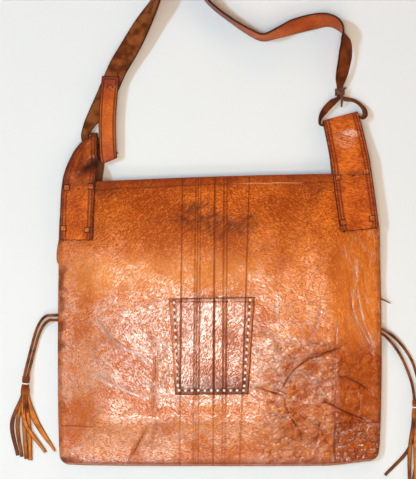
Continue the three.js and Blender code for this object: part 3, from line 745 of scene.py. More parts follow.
# %% [markdown]
# One hide gives all the finishes of the bag. Its grain is small plates with winding grooves between them.
# They lie along a direction that changes from place to place, as the hide was stretched. Stretched noise
# gives them: a groove is where the noise passes its middle value. The wax on the plates catches the light,
# the grooves don't. Every hide also has a suede side, and spots where it is stained or rubbed.

# %% The hide
SUEDE_ROUGHNESS = 0.85


def stretched(hide, mm, turn, length, width, detail=1.5):
    """Noise that is drawn out along one direction, in degrees."""
    laid = hide.add(
        "ShaderNodeMapping",
        {"vector_type": "TEXTURE"},
        {"Vector": mm, "Rotation": (0, 0, math.radians(turn)), "Scale": (length, width, 2 * width)},
    )
    sockets = {"Vector": laid, "Scale": 1.0, "Detail": detail, "Roughness": 0.55, "Distortion": 0.3}
    return hide.add("ShaderNodeTexNoise", {}, sockets)


def wander(hide, mm, per_mm, reach, detail):
    """Places that wander a little, so that what is drawn on them isn't straight."""
    swirl = hide.add("ShaderNodeTexNoise", {}, {"Vector": mm, "Scale": per_mm, "Detail": detail}, "Color")
    drift = hide.add("ShaderNodeVectorMath", {"operation": "SCALE"}, {0: swirl, "Scale": reach})
    return hide.add("ShaderNodeVectorMath", {"operation": "ADD"}, {0: mm, 1: drift})


def hide_grain(hide, mm, turn, regions=(), length=4.2, width=1.55):
    """Plates and grooves, as three numbers: height in millimetres, how deep in a groove, how high on a plate.

    Each region is a mask and the direction of the plates under it.
    """
    wandering = wander(hide, mm, 0.035, 9.0, 0.0)
    swell = stretched(hide, wandering, turn, length, width)
    for mask, other in regions:
        swell = swell * (1 - mask) + stretched(hide, wandering, other, length, width) * mask
    off_line = abs(swell - 0.5)
    groove = hide.step(off_line, 0.01, 0.06, 1.0, 0.0)
    crest = hide.step(off_line, 0.07, 0.16)
    pores = hide.noise(mm, 0.7, 2)
    return hide.step(off_line, 0.0, 0.10) * 0.14 + pores * 0.08, groove, crest


def crumple(hide, mm, size):
    """A net of creases: height of the pillows between them, up to 1, and how near a crease is."""
    warped = wander(hide, mm, 1.1 / size, 1.5 * size, 2.0)
    settings = {"feature": "DISTANCE_TO_EDGE", "voronoi_dimensions": "2D"}
    edge = hide.add("ShaderNodeTexVoronoi", settings, {"Vector": warped, "Scale": 1 / size})
    return hide.step(edge, 0.0, 0.32), hide.step(edge, 0.0, 0.07, 1.0, 0.0)


def spot(hide, x, y, row, soft):
    """A soft oval spot from a row of its middle, half widths and strength."""
    middle_x, middle_y, wide, high, strength = row
    off_x = (x - middle_x) * (1 / wide)
    off_y = (y - middle_y) * (1 / high)
    return hide.step(off_x * off_x + off_y * off_y, 0.1, soft, strength, 0.0)


def two_sided(hide, outside, colour, roughness, suede, suede_roughness=SUEDE_ROUGHNESS):
    """Colour and roughness of a sheet with grain on its outside and suede on its inside."""
    both = hide.mix(outside, suede, colour)
    return both, roughness * outside + suede_roughness * (1 - outside)


# %% [markdown]
# The front of the bag is tooled with upright lines, a stitched square at each bottom corner and a hem line
# under the mouth. They are drawn on the hide in the bag's own millimetres, as soft steps away from each line.

# %% Tooling of the front
# Upright tooled lines: place at the mouth and at the bottom, half width, strength
TOOLED = [
    ("left", -38.2, -41.4, 0.8, 0.8),
    ("left triple a", -24.2, -27.2, 0.7, 0.65),
    ("left triple b", -21.6, -24.8, 0.7, 0.65),
    ("left triple c", -18.9, -22.0, 0.7, 0.65),
    ("middle", -4.4, -6.3, 0.9, 0.95),
    ("right pair a", 5.2, 3.4, 0.9, 0.75),
    ("right pair b", 8.6, 6.4, 0.8, 0.75),
    ("right", 31.4, 21.8, 0.7, 0.85),
]
# Lines along X or Y: from, to, place, half width, strength
CROSS_LINES = [
    ("left square", -167, -131, 41.0, 0.7, 0.75),
    ("right square", 121, 171, 45.0, 0.8, 0.85),
]
UPRIGHT_LINES = [
    ("left square", 2, 41, -131.8, 0.6, 0.2),
    ("right square", 2, 45, 121.3, 1.2, 1.0),
]
# How far below the mouth the hem line lies, and how far a line's ends fade
HEM = 8.6
LINE_FADE = 2
# Height of the foot of the upright lines, and how far they run
TOOLED_FOOT = 7.0
TOOLED_RUN = 282.0


def tooled_lines(hide, x, y, spread=1.0):
    """How deep a point lies in the upright tooled lines."""
    up = (y - TOOLED_FOOT) / TOOLED_RUN
    total = 0.0
    for _, top, foot, half, strength in TOOLED:
        away = abs(x - (up * (top - foot) + foot))
        total = hide.step(away, half * 0.4 * spread, half * 1.5 * spread, strength, 0.0) + total
    return total


def panel_lines(hide, x, y, to_mouth):
    """How deep a point lies in any tooled line of the front."""
    lines = tooled_lines(hide, x, y) * hide.step(to_mouth, 0.5, 2.5) * hide.step(y, 55, 85, 0.6, 1.0)
    for table, along, aside in ((CROSS_LINES, x, y), (UPRIGHT_LINES, y, x)):
        for _, start, end, place, half, strength in table:
            begun = hide.step(along, start, start + LINE_FADE)
            within = begun * hide.step(along, end - LINE_FADE, end, 1.0, 0.0)
            lines = hide.step(abs(aside - place), half * 0.4, half * 1.6, strength, 0.0) * within + lines
    return lines


print("tooled lines:", len(TOOLED) + len(CROSS_LINES) + len(UPRIGHT_LINES))

# %% [markdown]
# Colour, height and wax of the front share many patterns, so those are made once and kept together. The
# lower right is crumpled: a net of creases, facets that lie aslant, a cracked square at the corner, and rucks
# up the right slope. Grime creeps in from the rim, blotched on the left.

# %% Patterns of the front


def panel_grain(hide, mm, x, y):
    """The front's grain: rising to the right at the upper left, falling below, upright at the right."""
    low_left = hide.step(x, -10, -45) * hide.step(y, 165, 125)
    right = hide.step(x, -15, 35)
    far_right = hide.step(x, 112, 132)
    foot = hide.step(y, 62, 50)
    regions = [(low_left, -48), (right, -28), (far_right, 82), (foot, 12)]
    return hide_grain(hide, mm, 38, regions)


def panel_patterns(hide):
    on = SimpleNamespace(mm=hide.millimetres())
    on.x, on.y, _ = hide.axes(on.mm)
    on.outside = hide.step(hide.mark("side"), -0.2, 0.6)
    on.to_mouth = hide.mark("across")
    on.from_bottom = hide.mark("along")
    on.crease_mark = hide.mark("crease")
    # Painted shade in the creases, broken up by noise
    on.crease = on.crease_mark * hide.step(hide.noise(on.mm, 0.13, 2), 0.34, 0.6, 0.5, 1.0)
    on.grain, on.groove, on.crest = panel_grain(hide, on.mm, on.x, on.y)
    on.waves = hide.noise(on.mm, 0.035, 3)
    on.ripples = hide.noise(on.mm, 0.11, 2)
    on.patches = hide.noise(on.mm, 0.018, 4)
    on.flecks = hide.noise(on.mm, 0.16, 3)
    on.streaks = stretched(hide, on.mm, 38, 15.0, 2.6, 3.0)
    on.lines = panel_lines(hide, on.x, on.y, on.to_mouth)
    on.hem = hide.step(abs(on.to_mouth - HEM + (on.waves - 0.5) * 4.0), 0.3, 1.0, 1.0, 0.0)
    return on


def add_crumples(hide, on):
    on.crumpled = hide.step(on.x, 30, 62) * hide.step(on.y, 142, 112)
    on.smoother = 1 - on.crumpled * 0.35
    on.broken = hide.step(on.flecks, 0.38, 0.58) * on.crumpled
    on.pillows, on.net = crumple(hide, on.mm, 24.0)
    on.small_pillows, on.small_net = crumple(hide, on.mm, 9.0)
    on.facets = stretched(hide, wander(hide, on.mm, 0.03, 16.0, 1.0), 30, 17.0, 5.0, 2.0)
    on.corner = hide.step(on.x, 119, 123) * hide.step(on.y, 60, 40)
    on.crackle = hide.noise(wander(hide, on.mm, 0.12, 3.0, 1.0), 0.30, 2)
    on.upright = stretched(hide, wander(hide, on.mm, 0.04, 8.0, 1.0), -74, 34.0, 5.0, 2.0)
    rucks = hide.step(abs(on.upright - 0.5), 0.012, 0.05, 1.0, 0.0) * hide.step(on.x, 128, 142)
    on.rucks = rucks * hide.step(on.y, 110, 140) * hide.step(on.flecks, 0.36, 0.56)


def add_grime(hide, on):
    blotches = hide.step(hide.noise(on.mm, 0.07, 2), 0.42, 0.66)
    at_left = hide.step(on.x, -120, -155)
    reach = hide.mark("rim") - at_left * (blotches * 9.0 - 2.0) + (on.flecks - 0.5) * 14.0
    on.grime = hide.step(reach, -5.0, 10.0, 0.85, 0.0) * (1 - at_left * (1 - blotches) * 0.5)


# %% [markdown]
# The colour is laid on in coats, as a leather worker would: first two tans, paler in the lower half, then
# streaks, flecks, grain, wear, creases, stains and grime, and the tooled lines last. Several coats are
# painted
# light and shade: glints on the plates' crests, a sheen band, a lighter right slope, shade in the creases,
# the crumpled net, the facets that face away, the low right strip and under the bottom edge, and highlights
# on the bottom lip and the hem. Each coat is a mask and a tone, so a coat can be taken out or moved without
# touching the others.

# %% Colours of the front
# Stains: middle, half widths, strength
STAINS = [
    (-118, 288, 17, 9, 0.75),
    (-24, 262, 24, 17, 0.9),
    (2, 250, 16, 17, 0.85),
    (26, 254, 16, 15, 0.75),
    (104, 293, 14, 8, 0.6),
    (100, 281, 8, 10, 0.4),
    (-52, 258, 26, 5, 0.35),
    (-110, 252, 24, 10, 0.25),
]
UPPER_TANS = ((0.40, 0.056, 0.002, 1), (0.73, 0.142, 0.006, 1))
LOWER_TANS = ((0.62, 0.128, 0.007, 1), (0.94, 0.268, 0.026, 1))
PANEL_SUEDES = ((0.20, 0.075, 0.03, 1), (0.30, 0.12, 0.05, 1))
# Tones of grooves and of tooled lines, in the upper half and in the lower
GROOVE_BROWNS = ((0.28, 0.036, 0.003, 1), (0.54, 0.100, 0.007, 1))
LINE_BROWNS = ((0.15, 0.022, 0.004, 1), (0.27, 0.042, 0.006, 1))
PANEL_TONES = {
    "streaks": (0.36, 0.052, 0.004, 1),
    "flecks": (0.40, 0.060, 0.004, 1),
    "crest glints": (1.0, 0.34, 0.05, 1),
    "net": (0.24, 0.032, 0.003, 1),
    "far low shade": (0.40, 0.058, 0.004, 1),
    "darker low right": (0.42, 0.066, 0.005, 1),
    "facets": (0.34, 0.048, 0.004, 1),
    "sheen band": (1.0, 0.36, 0.06, 1),
    "right slope": (1.0, 0.30, 0.022, 1),
    "rucks": (0.46, 0.078, 0.005, 1),
    "creases": (0.20, 0.026, 0.003, 1),
    "stains": (0.14, 0.027, 0.007, 1),
    "cracks": (0.14, 0.020, 0.003, 1),
    "mouth": (0.28, 0.040, 0.006, 1),
    "foot": (0.36, 0.06, 0.014, 1),
    "left edge": (0.46, 0.074, 0.006, 1),
    "grime": (0.17, 0.026, 0.006, 1),
    "bottom lip highlight": (0.66, 0.26, 0.16, 1),
    "hem": (0.16, 0.025, 0.005, 1),
    "lit hem": (0.88, 0.44, 0.22, 1),
}


def stains(hide, on):
    total = 0.0
    for row in STAINS:
        total = spot(hide, on.x, on.y, row, 1.5) + total
    return total * hide.step(on.streaks * 0.6 + on.flecks * 0.4, 0.36, 0.66, 0.2, 1.0)


def panel_colour(hide, on):
    x = on.x
    y = on.y
    low = hide.step(y, 285, 175)
    worn = hide.step(on.patches, 0.40, 0.60)
    # Painted shade: the low right strip, which tilts away from the light, is darkened.
    shaded_far_low = hide.step(x, 116, 124) * hide.step(y, 145, 110)
    # The lower right is made darker in patches.
    darker_low_right = hide.step(x, 40, 80) * hide.step(y, 120, 90) * hide.step(on.patches, 0.42, 0.58)
    # Painted sheen: a lighter band about 200 mm up, fading out towards the right.
    sheen_band = hide.step(abs(y - 200), 6, 30, 0.32, 0.0) * hide.step(x, 70, 20)
    # Painted light: the right slope is made lighter, as light from the right would make it.
    lightened_slope = hide.step(x, 114, 140) * hide.step(y, 115, 150) * hide.step(y, 260, 220)
    cracks = hide.step(abs(on.crackle - 0.5), 0.015, 0.06, 1.0, 0.0) * on.corner
    hem_lit = hide.step(x, 5, 35) * hide.step(x, 92, 80)
    return hide.lay(
        hide.mix(low, hide.mix(worn, *UPPER_TANS), hide.mix(worn, *LOWER_TANS)),
        (hide.step(on.streaks, 0.5, 0.72) * 0.35, PANEL_TONES["streaks"]),
        (hide.step(on.flecks, 0.42, 0.66) * 0.3, PANEL_TONES["flecks"]),
        # Painted glints: the crests of the plates are lightened.
        (on.crest * 0.28, PANEL_TONES["crest glints"]),
        (on.groove * 0.95 * on.smoother, hide.mix(low, *GROOVE_BROWNS)),
        # Painted shade in the lines of the crumpled net.
        ((on.net * 0.8 + on.small_net * 0.6) * on.broken, PANEL_TONES["net"]),
        (shaded_far_low * 0.45, PANEL_TONES["far low shade"]),
        (darker_low_right * 0.4, PANEL_TONES["darker low right"]),
        # Painted shade: the facets that face away are darkened.
        (hide.step(on.facets, 0.50, 0.40) * on.crumpled * 0.6, PANEL_TONES["facets"]),
        (sheen_band, PANEL_TONES["sheen band"]),
        (lightened_slope * 0.3, PANEL_TONES["right slope"]),
        (hide.step(on.upright, 0.52, 0.64) * lightened_slope * 0.35, PANEL_TONES["rucks"]),
        # Painted shade in the creases.
        (on.crease * 0.95, PANEL_TONES["creases"]),
        (stains(hide, on), PANEL_TONES["stains"]),
        (cracks * 0.7, PANEL_TONES["cracks"]),
        (hide.step(on.to_mouth, 4.0, 18.0, 0.5, 0.0), PANEL_TONES["mouth"]),
        # Painted shade on the rolled-under bottom edge.
        (hide.step(on.from_bottom, 5.0, 11.0, 0.5, 0.0), PANEL_TONES["foot"]),
        (hide.step(x, -124, -158) * hide.step(y, 270, 230) * 0.45, PANEL_TONES["left edge"]),
        (on.grime, PANEL_TONES["grime"]),
        # Painted highlight: a pale line along the lip of the bottom edge.
        (hide.step(abs(on.from_bottom - 2.2), 0.4, 1.2, 0.6, 0.0), PANEL_TONES["bottom lip highlight"]),
        (on.lines * 0.8, hide.mix(low, *LINE_BROWNS)),
        (on.hem * (1 - hem_lit) * 0.55, PANEL_TONES["hem"]),
        (on.hem * hem_lit * 0.4, PANEL_TONES["lit hem"]),
    )


print("stains:", len(STAINS), "tones:", len(PANEL_TONES))

# %% [markdown]
# Wax lies on the plates of the lower half and was rubbed off near the mouth, on the right and where there is
# grime. It also shines on the shoulders of the creases, on facets that happen to face the lamp, and on specks
# of the cracked corner. In the middle of the lower half its colour is paled more, a painted sheen that makes
# the glints whiter there.

# %% Wax of the front


def panel_wax(hide, on):
    x = on.x
    y = on.y
    plates = hide.step(on.ripples, 0.34, 0.6, 0.5, 1.0) * (1 - on.groove * 0.97 * on.smoother)
    plates = plates * (1 - on.crease * 0.9) * (1 - (on.net + on.small_net) * on.broken * 0.8)
    wax = hide.step(y, 272, 150, 0.03, 1.0) * hide.step(on.to_mouth, 2, 24) * plates
    edge_x = x + (on.patches - 0.5) * hide.step(y, 120, 180) * 70.0
    wax = wax * hide.step(x, 15, 85, 1.0, 0.55) * hide.step(edge_x, 118, 132, 1.0, 0.3)
    wax = wax * hide.step(x, -125, -145, 1.0, 0.75)
    low_left = hide.step(x, -15, -60) * hide.step(y, 175, 130)
    wax = wax * (1 - on.grime) * hide.step(on.patches, 0.42, 0.58, 0.45, 1.15) * (1 + low_left * 0.35)
    shoulders = hide.step(on.crease_mark, 0.04, 0.16) * hide.step(on.crease_mark, 0.42, 0.2)
    lit_facets = hide.step(on.facets, 0.53, 0.62) * on.crumpled * hide.step(x, 128, 116)
    specks = on.corner * hide.step(on.crackle, 0.55, 0.60) * hide.step(y, 52, 36) * 1.3
    specks = specks + lit_facets * (1 - on.groove * 0.7) + on.rucks * 0.9
    return (wax * (1 - on.lines * 0.7) + shoulders * 0.55 + specks * 0.65) * on.outside


def panel_finish():
    hide = Finish("panel_hide")
    on = panel_patterns(hide)
    add_crumples(hide, on)
    add_grime(hide, on)
    suede = hide.mix(on.flecks, *PANEL_SUEDES)
    colour = panel_colour(hide, on)
    colour, roughness = two_sided(hide, on.outside, colour, 0.55 + on.groove * 0.2, suede)
    height = on.grain * on.outside + on.waves * 2.6 + on.ripples * 0.45
    height = height + (on.pillows * 1.7 + on.small_pillows * 0.6) * on.crumpled
    height = height - on.lines * 0.5 - on.hem * 0.4
    # Painted sheen: the waxed colour is paled more in the middle of the lower half.
    paled_for_sheen = hide.step(on.y, 190, 150) * hide.step(on.y, 56, 86)
    paled_for_sheen = paled_for_sheen * hide.step(on.x, 118, 96) * hide.step(on.x, -150, -120)
    sheen_paling = paled_for_sheen * 0.22 + WAX_SHEEN_PALING
    return hide.finish(colour, roughness, height, 1.0, panel_wax(hide, on), sheen_paling, **DULL)


panel_hide = panel_finish()

# %% [markdown]
# The front panel is a sheet on the pouch's front. The grid crowds towards the edges, where the hide rolls
# over. The hem is folded double, so the last strip under the mouth is a little thicker.

# %% Front panel
HEM_RISE = 0.3


def front_place(u, v):
    x, y, edge = outline_place(crowd_across(u), crowd_up(v), 0.0)
    hem = HEM_RISE * smooth(mouth_at(x) - y, HEM + 1.2, HEM - 0.6)
    return Vector((x, y, front_height(x, y, edge) + hem))


def front_marks(u, v):
    """Here across holds the distance to the mouth, and along the distance from the bottom."""
    x, y, edge = outline_place(crowd_across(u), crowd_up(v), 0.0)
    to_mouth = mouth_at(x) - y
    return {
        "rim": min(edge, to_mouth),
        # Strength of the painted shade in the creases
        "crease": crease_depth(x, y)[1],
        "across": to_mouth,
        "along": y - bottom_at(x),
    }


front = new_leather()
add_sheet(front, front_place, LEATHER, 212, 192, front_marks)
make_piece(front, "front_hide", panel_hide, ["front_panel"])

# %% [markdown]
# The back is a plain hide that lies flat on the table. Only its top corners are lifted, where the ends of the
# strap tabs are sewn under it. It wears the same tan without tooling, rubbed paler in the middle.

# %% Back panel
BACK_TANS = ((0.36, 0.062, 0.008, 1), (0.54, 0.125, 0.02, 1))
BACK_SUEDES = ((0.17, 0.062, 0.025, 1), (0.26, 0.10, 0.042, 1))
BACK_GROOVE = (0.26, 0.042, 0.006, 1)
BACK_GRIME = (0.16, 0.028, 0.006, 1)


def back_finish():
    hide = Finish("back_hide")
    mm = hide.millimetres()
    grain, groove, _ = hide_grain(hide, mm, 25)
    outside = hide.step(hide.mark("side"), -0.6, 0.2, 1.0, 0.0)
    patches = hide.step(hide.noise(mm, 0.014, 4), 0.34, 0.66)
    flecks = hide.noise(mm, 0.16, 3)
    grime = hide.step(hide.mark("rim") + (flecks - 0.5) * 16.0, 0.0, 12.0, 0.8, 0.0)
    colour = hide.lay(hide.mix(patches, *BACK_TANS), (groove * 0.4, BACK_GROOVE), (grime, BACK_GRIME))
    suede = hide.mix(flecks, *BACK_SUEDES)
    colour, roughness = two_sided(hide, outside, colour, 0.42 + groove * 0.2, suede)
    return hide.finish(colour, roughness, grain * outside, 0.8, Specular_IOR_Level=0.25)


def back_place(u, v):
    x, y, _ = outline_place(crowd_across(u), crowd_up(v), BACK_INSET)
    return Vector((x, y, LEATHER / 2 + back_raise(x, y)))


def back_marks(u, v):
    x, y, edge = outline_place(crowd_across(u), crowd_up(v), BACK_INSET)
    return {"rim": min(edge, mouth_at(x) - y)}


back = new_leather()
add_sheet(back, back_place, LEATHER, 80, 80, back_marks)
make_piece(back, "back_hide", back_finish(), ["back_panel"])

# %% [markdown]
# The pocket is a patch of the same hide, tooled with the same lines before it was laced on. It bows out a
# little at its open top. It has been handled more than the rest, so its wax is smoother and its edges are
# dark.

# %% Pocket patch
POCKET_LEATHER = 1.6
POCKET_LIFT = 0.35
POCKET_BOW = 2.6
POCKET_TOP = {"left": (-52.3, 175.4), "right": (36.9, 177.4)}
POCKET_FOOT = {"left": (-45.8, 75.4), "right": (30.6, 76.2)}
# Middle width and height, for distances from its edges
POCKET_WIDTH = 82
POCKET_HEIGHT = 100


def pocket_plan(u, v):
    left_x = lerp(POCKET_FOOT["left"][0], POCKET_TOP["left"][0], v)
    right_x = lerp(POCKET_FOOT["right"][0], POCKET_TOP["right"][0], v)
    left_y = lerp(POCKET_FOOT["left"][1], POCKET_TOP["left"][1], v)
    right_y = lerp(POCKET_FOOT["right"][1], POCKET_TOP["right"][1], v)
    return lerp(left_x, right_x, u), lerp(left_y, right_y, u)


def pocket_place(u, v):
    x, y = pocket_plan(u, v)
    bow = POCKET_BOW * math.sin(math.pi * u) * v**3
    z = front_height(x, y, fine=False) + (LEATHER + POCKET_LEATHER) / 2 + POCKET_LIFT + bow
    return Vector((x, y, z))


def pocket_marks(u, v):
    """Here across holds the distance from the laced edges."""
    laced = min(u * POCKET_WIDTH, (1 - u) * POCKET_WIDTH, v * POCKET_HEIGHT)
    return {"rim": min(laced, (1 - v) * POCKET_HEIGHT), "across": laced}


# %% [markdown]
# The pocket's plates are longer than the front's. Its coats are fewer: smudges of handling, the shade at its
# foot, the tooled lines, the seam under the lacing and a dark cut edge.

# %% Finish of the pocket
POCKET_TANS = ((0.52, 0.112, 0.011, 1), (0.76, 0.200, 0.026, 1))
POCKET_TONES = {
    "smudges": (0.30, 0.050, 0.008, 1),
    "grooves": (0.34, 0.048, 0.006, 1),
    "shade": (0.17, 0.034, 0.011, 1),
    "lines": (0.12, 0.016, 0.006, 1),
    "seam": (0.085, 0.016, 0.006, 1),
    "edge": (0.075, 0.016, 0.006, 1),
}
POCKET_HEM_LINE = 172.6
LACED_IN = 5.3


def pocket_finish():
    hide = Finish("pocket_hide")
    mm = hide.millimetres()
    x, y, _ = hide.axes(mm)
    grain, groove, _ = hide_grain(hide, mm, 66, [(hide.step(x, 4, 12), 42)], 5.5, 1.9)
    streaks = hide.step(stretched(hide, mm, 38, 9.0, 1.8), 0.5, 0.64) * hide.step(x, -8, 8)
    outside = hide.step(hide.mark("side"), -0.2, 0.6)
    laced = hide.mark("across")
    lines = tooled_lines(hide, x, y, 1.1)
    lines = hide.step(abs(y - POCKET_HEM_LINE), 0.4, 1.1, 0.45, 0.0) + lines
    patches = hide.noise(mm, 0.03, 4)
    flecks = hide.noise(mm, 0.2, 3)
    waves = hide.noise(mm, 0.05, 2)
    smudges = hide.step(hide.noise(mm, 0.07, 3), 0.46, 0.62)
    shade = hide.step(y, 108, 80) * 0.75
    edge = hide.step(hide.mark("rim"), 0.3, 1.7, 0.9, 0.0) * hide.step(x, -46, -40, 0.35, 1.0)
    colour = hide.lay(
        hide.mix(hide.step(patches, 0.36, 0.64), *POCKET_TANS),
        (smudges * 0.2, POCKET_TONES["smudges"]),
        (groove * 0.7, POCKET_TONES["grooves"]),
        (shade, POCKET_TONES["shade"]),
        (lines * 0.9, POCKET_TONES["lines"]),
        (hide.step(abs(laced - LACED_IN), 0.8, 1.8, 0.5, 0.0), POCKET_TONES["seam"]),
        (edge, POCKET_TONES["edge"]),
    )
    suede = hide.mix(flecks, *PANEL_SUEDES)
    colour, roughness = two_sided(hide, outside, colour, 0.5 + groove * 0.2, suede)
    height = grain * outside * 0.8 + waves * 1.3 - lines * 0.6
    wax = hide.step(patches, 0.38, 0.58, 0.5, 1.0) * (1 - smudges * 0.25) * (1 - lines)
    wax = wax * (1 - groove * 0.85) * (1 - streaks * 0.8) * (1 - shade * 0.6)
    wax = wax * hide.step(laced, 5.5, 8.0, 0.3, 1.0) * outside
    return hide.finish(colour, roughness, height, 1.0, wax, **DULL)


pocket = new_leather()
add_sheet(pocket, pocket_place, POCKET_LEATHER, 56, 60, pocket_marks)
make_piece(pocket, "pocket_hide", pocket_finish(), ["pocket_patch"])

# %% [markdown]
# Cream lace holds the pocket on three sides. Each stitch is a short plump bead of lace, and a near-black
# slit, the painted shade of its hole, lies between it and the next. One bead is made from a low ball and
# copied along the three rows, and so is one slit. All the beads are one joined mesh, and all the slits
# another.

# %% Pocket lacing
# Rows of stitches: first, last, and how many
LACE_ROWS = [
    ("left", (-46.7, 171.4), (-42.9, 85.6), 13),
    ("bottom", (-41.6, 80.3), (25.3, 80.3), 11),
    ("right", (32.2, 174.4), (26.1, 85.0), 14),
]
BEAD = (1.45, 1.35, 1.0)
BEAD_RISE = 0.25
BEAD_TURN = 0.25
SLIT = (1.3, 0.55, 0.3)
SLIT_SINK = 0.05


def pocket_top(x, y):
    """Height of the pocket's outer face at a place on it."""
    foot = POCKET_FOOT["left"][1]
    share = (y - foot) / (POCKET_TOP["left"][1] - foot)
    left, _ = pocket_plan(0, share)
    right, _ = pocket_plan(1, share)
    u = clamp((x - left) / (right - left))
    return pocket_place(u, clamp(share)).z + POCKET_LEATHER / 2


def add_bead(bm, place, size, heading):
    """A plump stitch: a low ball, drawn out along its heading."""
    form = Matrix.Translation(place) @ Matrix.Rotation(heading, 4, "Z") @ Matrix.Diagonal((*size, 1))
    bmesh.ops.create_icosphere(bm, subdivisions=2, radius=1, matrix=form)


lacing = bmesh.new()
lace_slit_shade = bmesh.new()
for _, first, last, count in LACE_ROWS:
    heading = math.atan2(last[1] - first[1], last[0] - first[0])
    for i in range(2 * count - 1):
        share = i / (2 * count - 2)
        x = lerp(first[0], last[0], share)
        y = lerp(first[1], last[1], share)
        if i % 2 == 0:
            add_bead(lacing, Vector((x, y, pocket_top(x, y) + BEAD_RISE)), BEAD, heading + BEAD_TURN)
        else:
            add_bead(lace_slit_shade, Vector((x, y, pocket_top(x, y) - SLIT_SINK)), SLIT, heading)
make_piece(lacing, "pocket_lacing", cream_lace, sharp=80)
make_piece(lace_slit_shade, "pocket_lace_slit_shade", dark_thread_and_shade, sharp=80)

# %% [markdown]
# Straps and tabs are bands: a middle line through the rows of a table, with a width, a heading across it and
# a tilt at each row. Where a band is folded back on itself, a half circle of rows joins its two layers.

# %% Bands
TURN_ANGLES = (45, 90, 135)


def band_through(rows):
    """rows hold x, y, z, width, across and tilt, the last two in degrees."""
    line = curve_through([row[:3] for row in rows])
    form = curve_through([row[3:6] for row in rows])

    def place(u, v):
        width, across, tilt = form(v)
        level = math.cos(math.radians(tilt))
        heading = math.radians(across)
        side = Vector((level * math.cos(heading), level * math.sin(heading), math.sin(math.radians(tilt))))
        return line(v) + side * ((u - 0.5) * width)

    return place, line, form


def folded_rows(upper, lower):
    """The upper rows, a half circle, then the lower rows."""
    start = upper[-1]
    end = lower[0]
    radius = (start[2] - end[2]) / 2
    heading = math.radians(start[4] + 90)
    turn = []
    for angle in TURN_ANGLES:
        mixed = [lerp(a, b, angle / 180) for a, b in zip(start, end)]
        out = radius * math.sin(math.radians(angle))
        mixed[0] += out * math.cos(heading)
        mixed[1] += out * math.sin(heading)
        mixed[2] = end[2] + radius * (1 + math.cos(math.radians(angle)))
        turn.append(tuple(mixed))
    return [*upper, *turn, *lower]


def crowd_band(u):
    return 0.5 - 0.5 * math.cos(math.pi * u)


def add_lace(bm, rows, thickness, grid, rim_width, **marks):
    """A narrow band through rows, with a grid of so many steps across and along."""
    band, _, _ = band_through(rows)
    add_sheet(bm, band, thickness, *grid, lambda u, v: {"rim": min(u, 1 - u) * rim_width, **marks})


# %% [markdown]
# Each tab is one piece of hide, folded over the mouth. Its front end is sewn to the front panel and follows
# it, its back end lies under the back panel. The left one is drawn together and puckered where the strap
# pulls through it. The right one lies flat.

# %% Rows of the tabs
TAB_LEATHER = 1.8
TAB_LIFT = 2.25
# Rows: x, y, z, width, across, tilt, and how far the band lies on the front
TAB_LEFT_FRONT = [
    (-149.2, 236.2, 0, 33, 0, 0, 1),
    (-149.2, 240, 0, 35.4, 0, 0, 1),
    (-148.8, 268, 0, 36, 0, 0, 1),
    (-146.8, 299, 17, 35, -1, 0, 1),
    (-143.4, 315, 12.5, 32.4, 0, 0, 0),
    (-140, 331, 9.4, 24.4, 2, 0, 0),
    (-136.2, 340.5, 8.8, 16.6, 4, 0, 0),
    (-131.7, 345.2, 8.6, 7.4, 4, 0, 0),
]
TAB_LEFT_BACK = [
    (-131.7, 345.2, 1.3, 7.4, 4, 0, 0),
    (-130.6, 339, 1.15, 14, 4, 0, 0),
    (-130.5, 327, 1, 20, 3, 0, 0),
    (-140.5, 303, 1, 35, 0, 0, 0),
    (-144, 258, 1, 35, 0, 0, 0),
    (-144.4, 253, 1, 32, 0, 0, 0),
]
TAB_RIGHT_FRONT = [
    (147, 246.8, 0, 36, 6, 0, 1),
    (146.6, 251.5, 0, 41.8, 6.5, 0, 1),
    (143.4, 277, 0, 42, 8, 0, 1),
    (139.2, 308.5, 17, 41.4, 9, 0, 1),
    (136.4, 327, 12, 40.4, 10.5, 0, 0),
    (132.3, 348, 9.2, 39.6, 13, 0, 0),
    (128.8, 362.9, 8.8, 38.4, 15, 0, 0),
]
TAB_RIGHT_BACK = [
    (128.8, 362.9, 1.3, 38.4, 15, 0, 0),
    (130.4, 355.6, 1.15, 38.2, 14, 0, 0),
    (135, 332, 1, 38, 11, 0, 0),
    (138, 303, 1, 37, 9, 0, 0),
    (142.6, 263, 1, 37, 8, 0, 0),
    (143.2, 258, 1, 33, 8, 0, 0),
]
# Puckers in the front layer: from, to, depth, width, and how dark the painted shade in it is
PUCKERS = {
    "tab_left": [
        (-125, 322, -140, 311.5, 2.4, 4.4, 1.0),
        (-122, 319, -130, 316, 1.8, 6.0, 1.0),
        (-166, 294, -132, 296, 0.5, 2.2, 0.4),
        (-140, 312, -149, 303, 1.4, 3.0, 0.5),
        (-126, 331, -138, 323, -1.3, 3.4, 0.0),
        (-150, 306, -142, 332, 0.8, 2.4, 0.4),
    ],
    "tab_right": [(118, 303, 156, 308, 0.9, 3.0, 0.4), (116, 338, 150, 346, 0.4, 2.5, 0.0)],
}
TAB_ROWS = {"tab_left": (TAB_LEFT_FRONT, TAB_LEFT_BACK), "tab_right": (TAB_RIGHT_FRONT, TAB_RIGHT_BACK)}
print("rows of tabs:", {name: len(front) + len(back) for name, (front, back) in TAB_ROWS.items()})

# %% [markdown]
# A tab's band is draped: where a row says so, its height comes from the front under it. The puckers are then
# pressed into the front layer, and the cut front end is frayed a little with two sines.

# %% Surfaces of the tabs
TAB_RUN = 190
FRAYED_END = 0.01
# Depth and waves of the two sines
FRAY = ((0.5, 31), (0.35, 77))


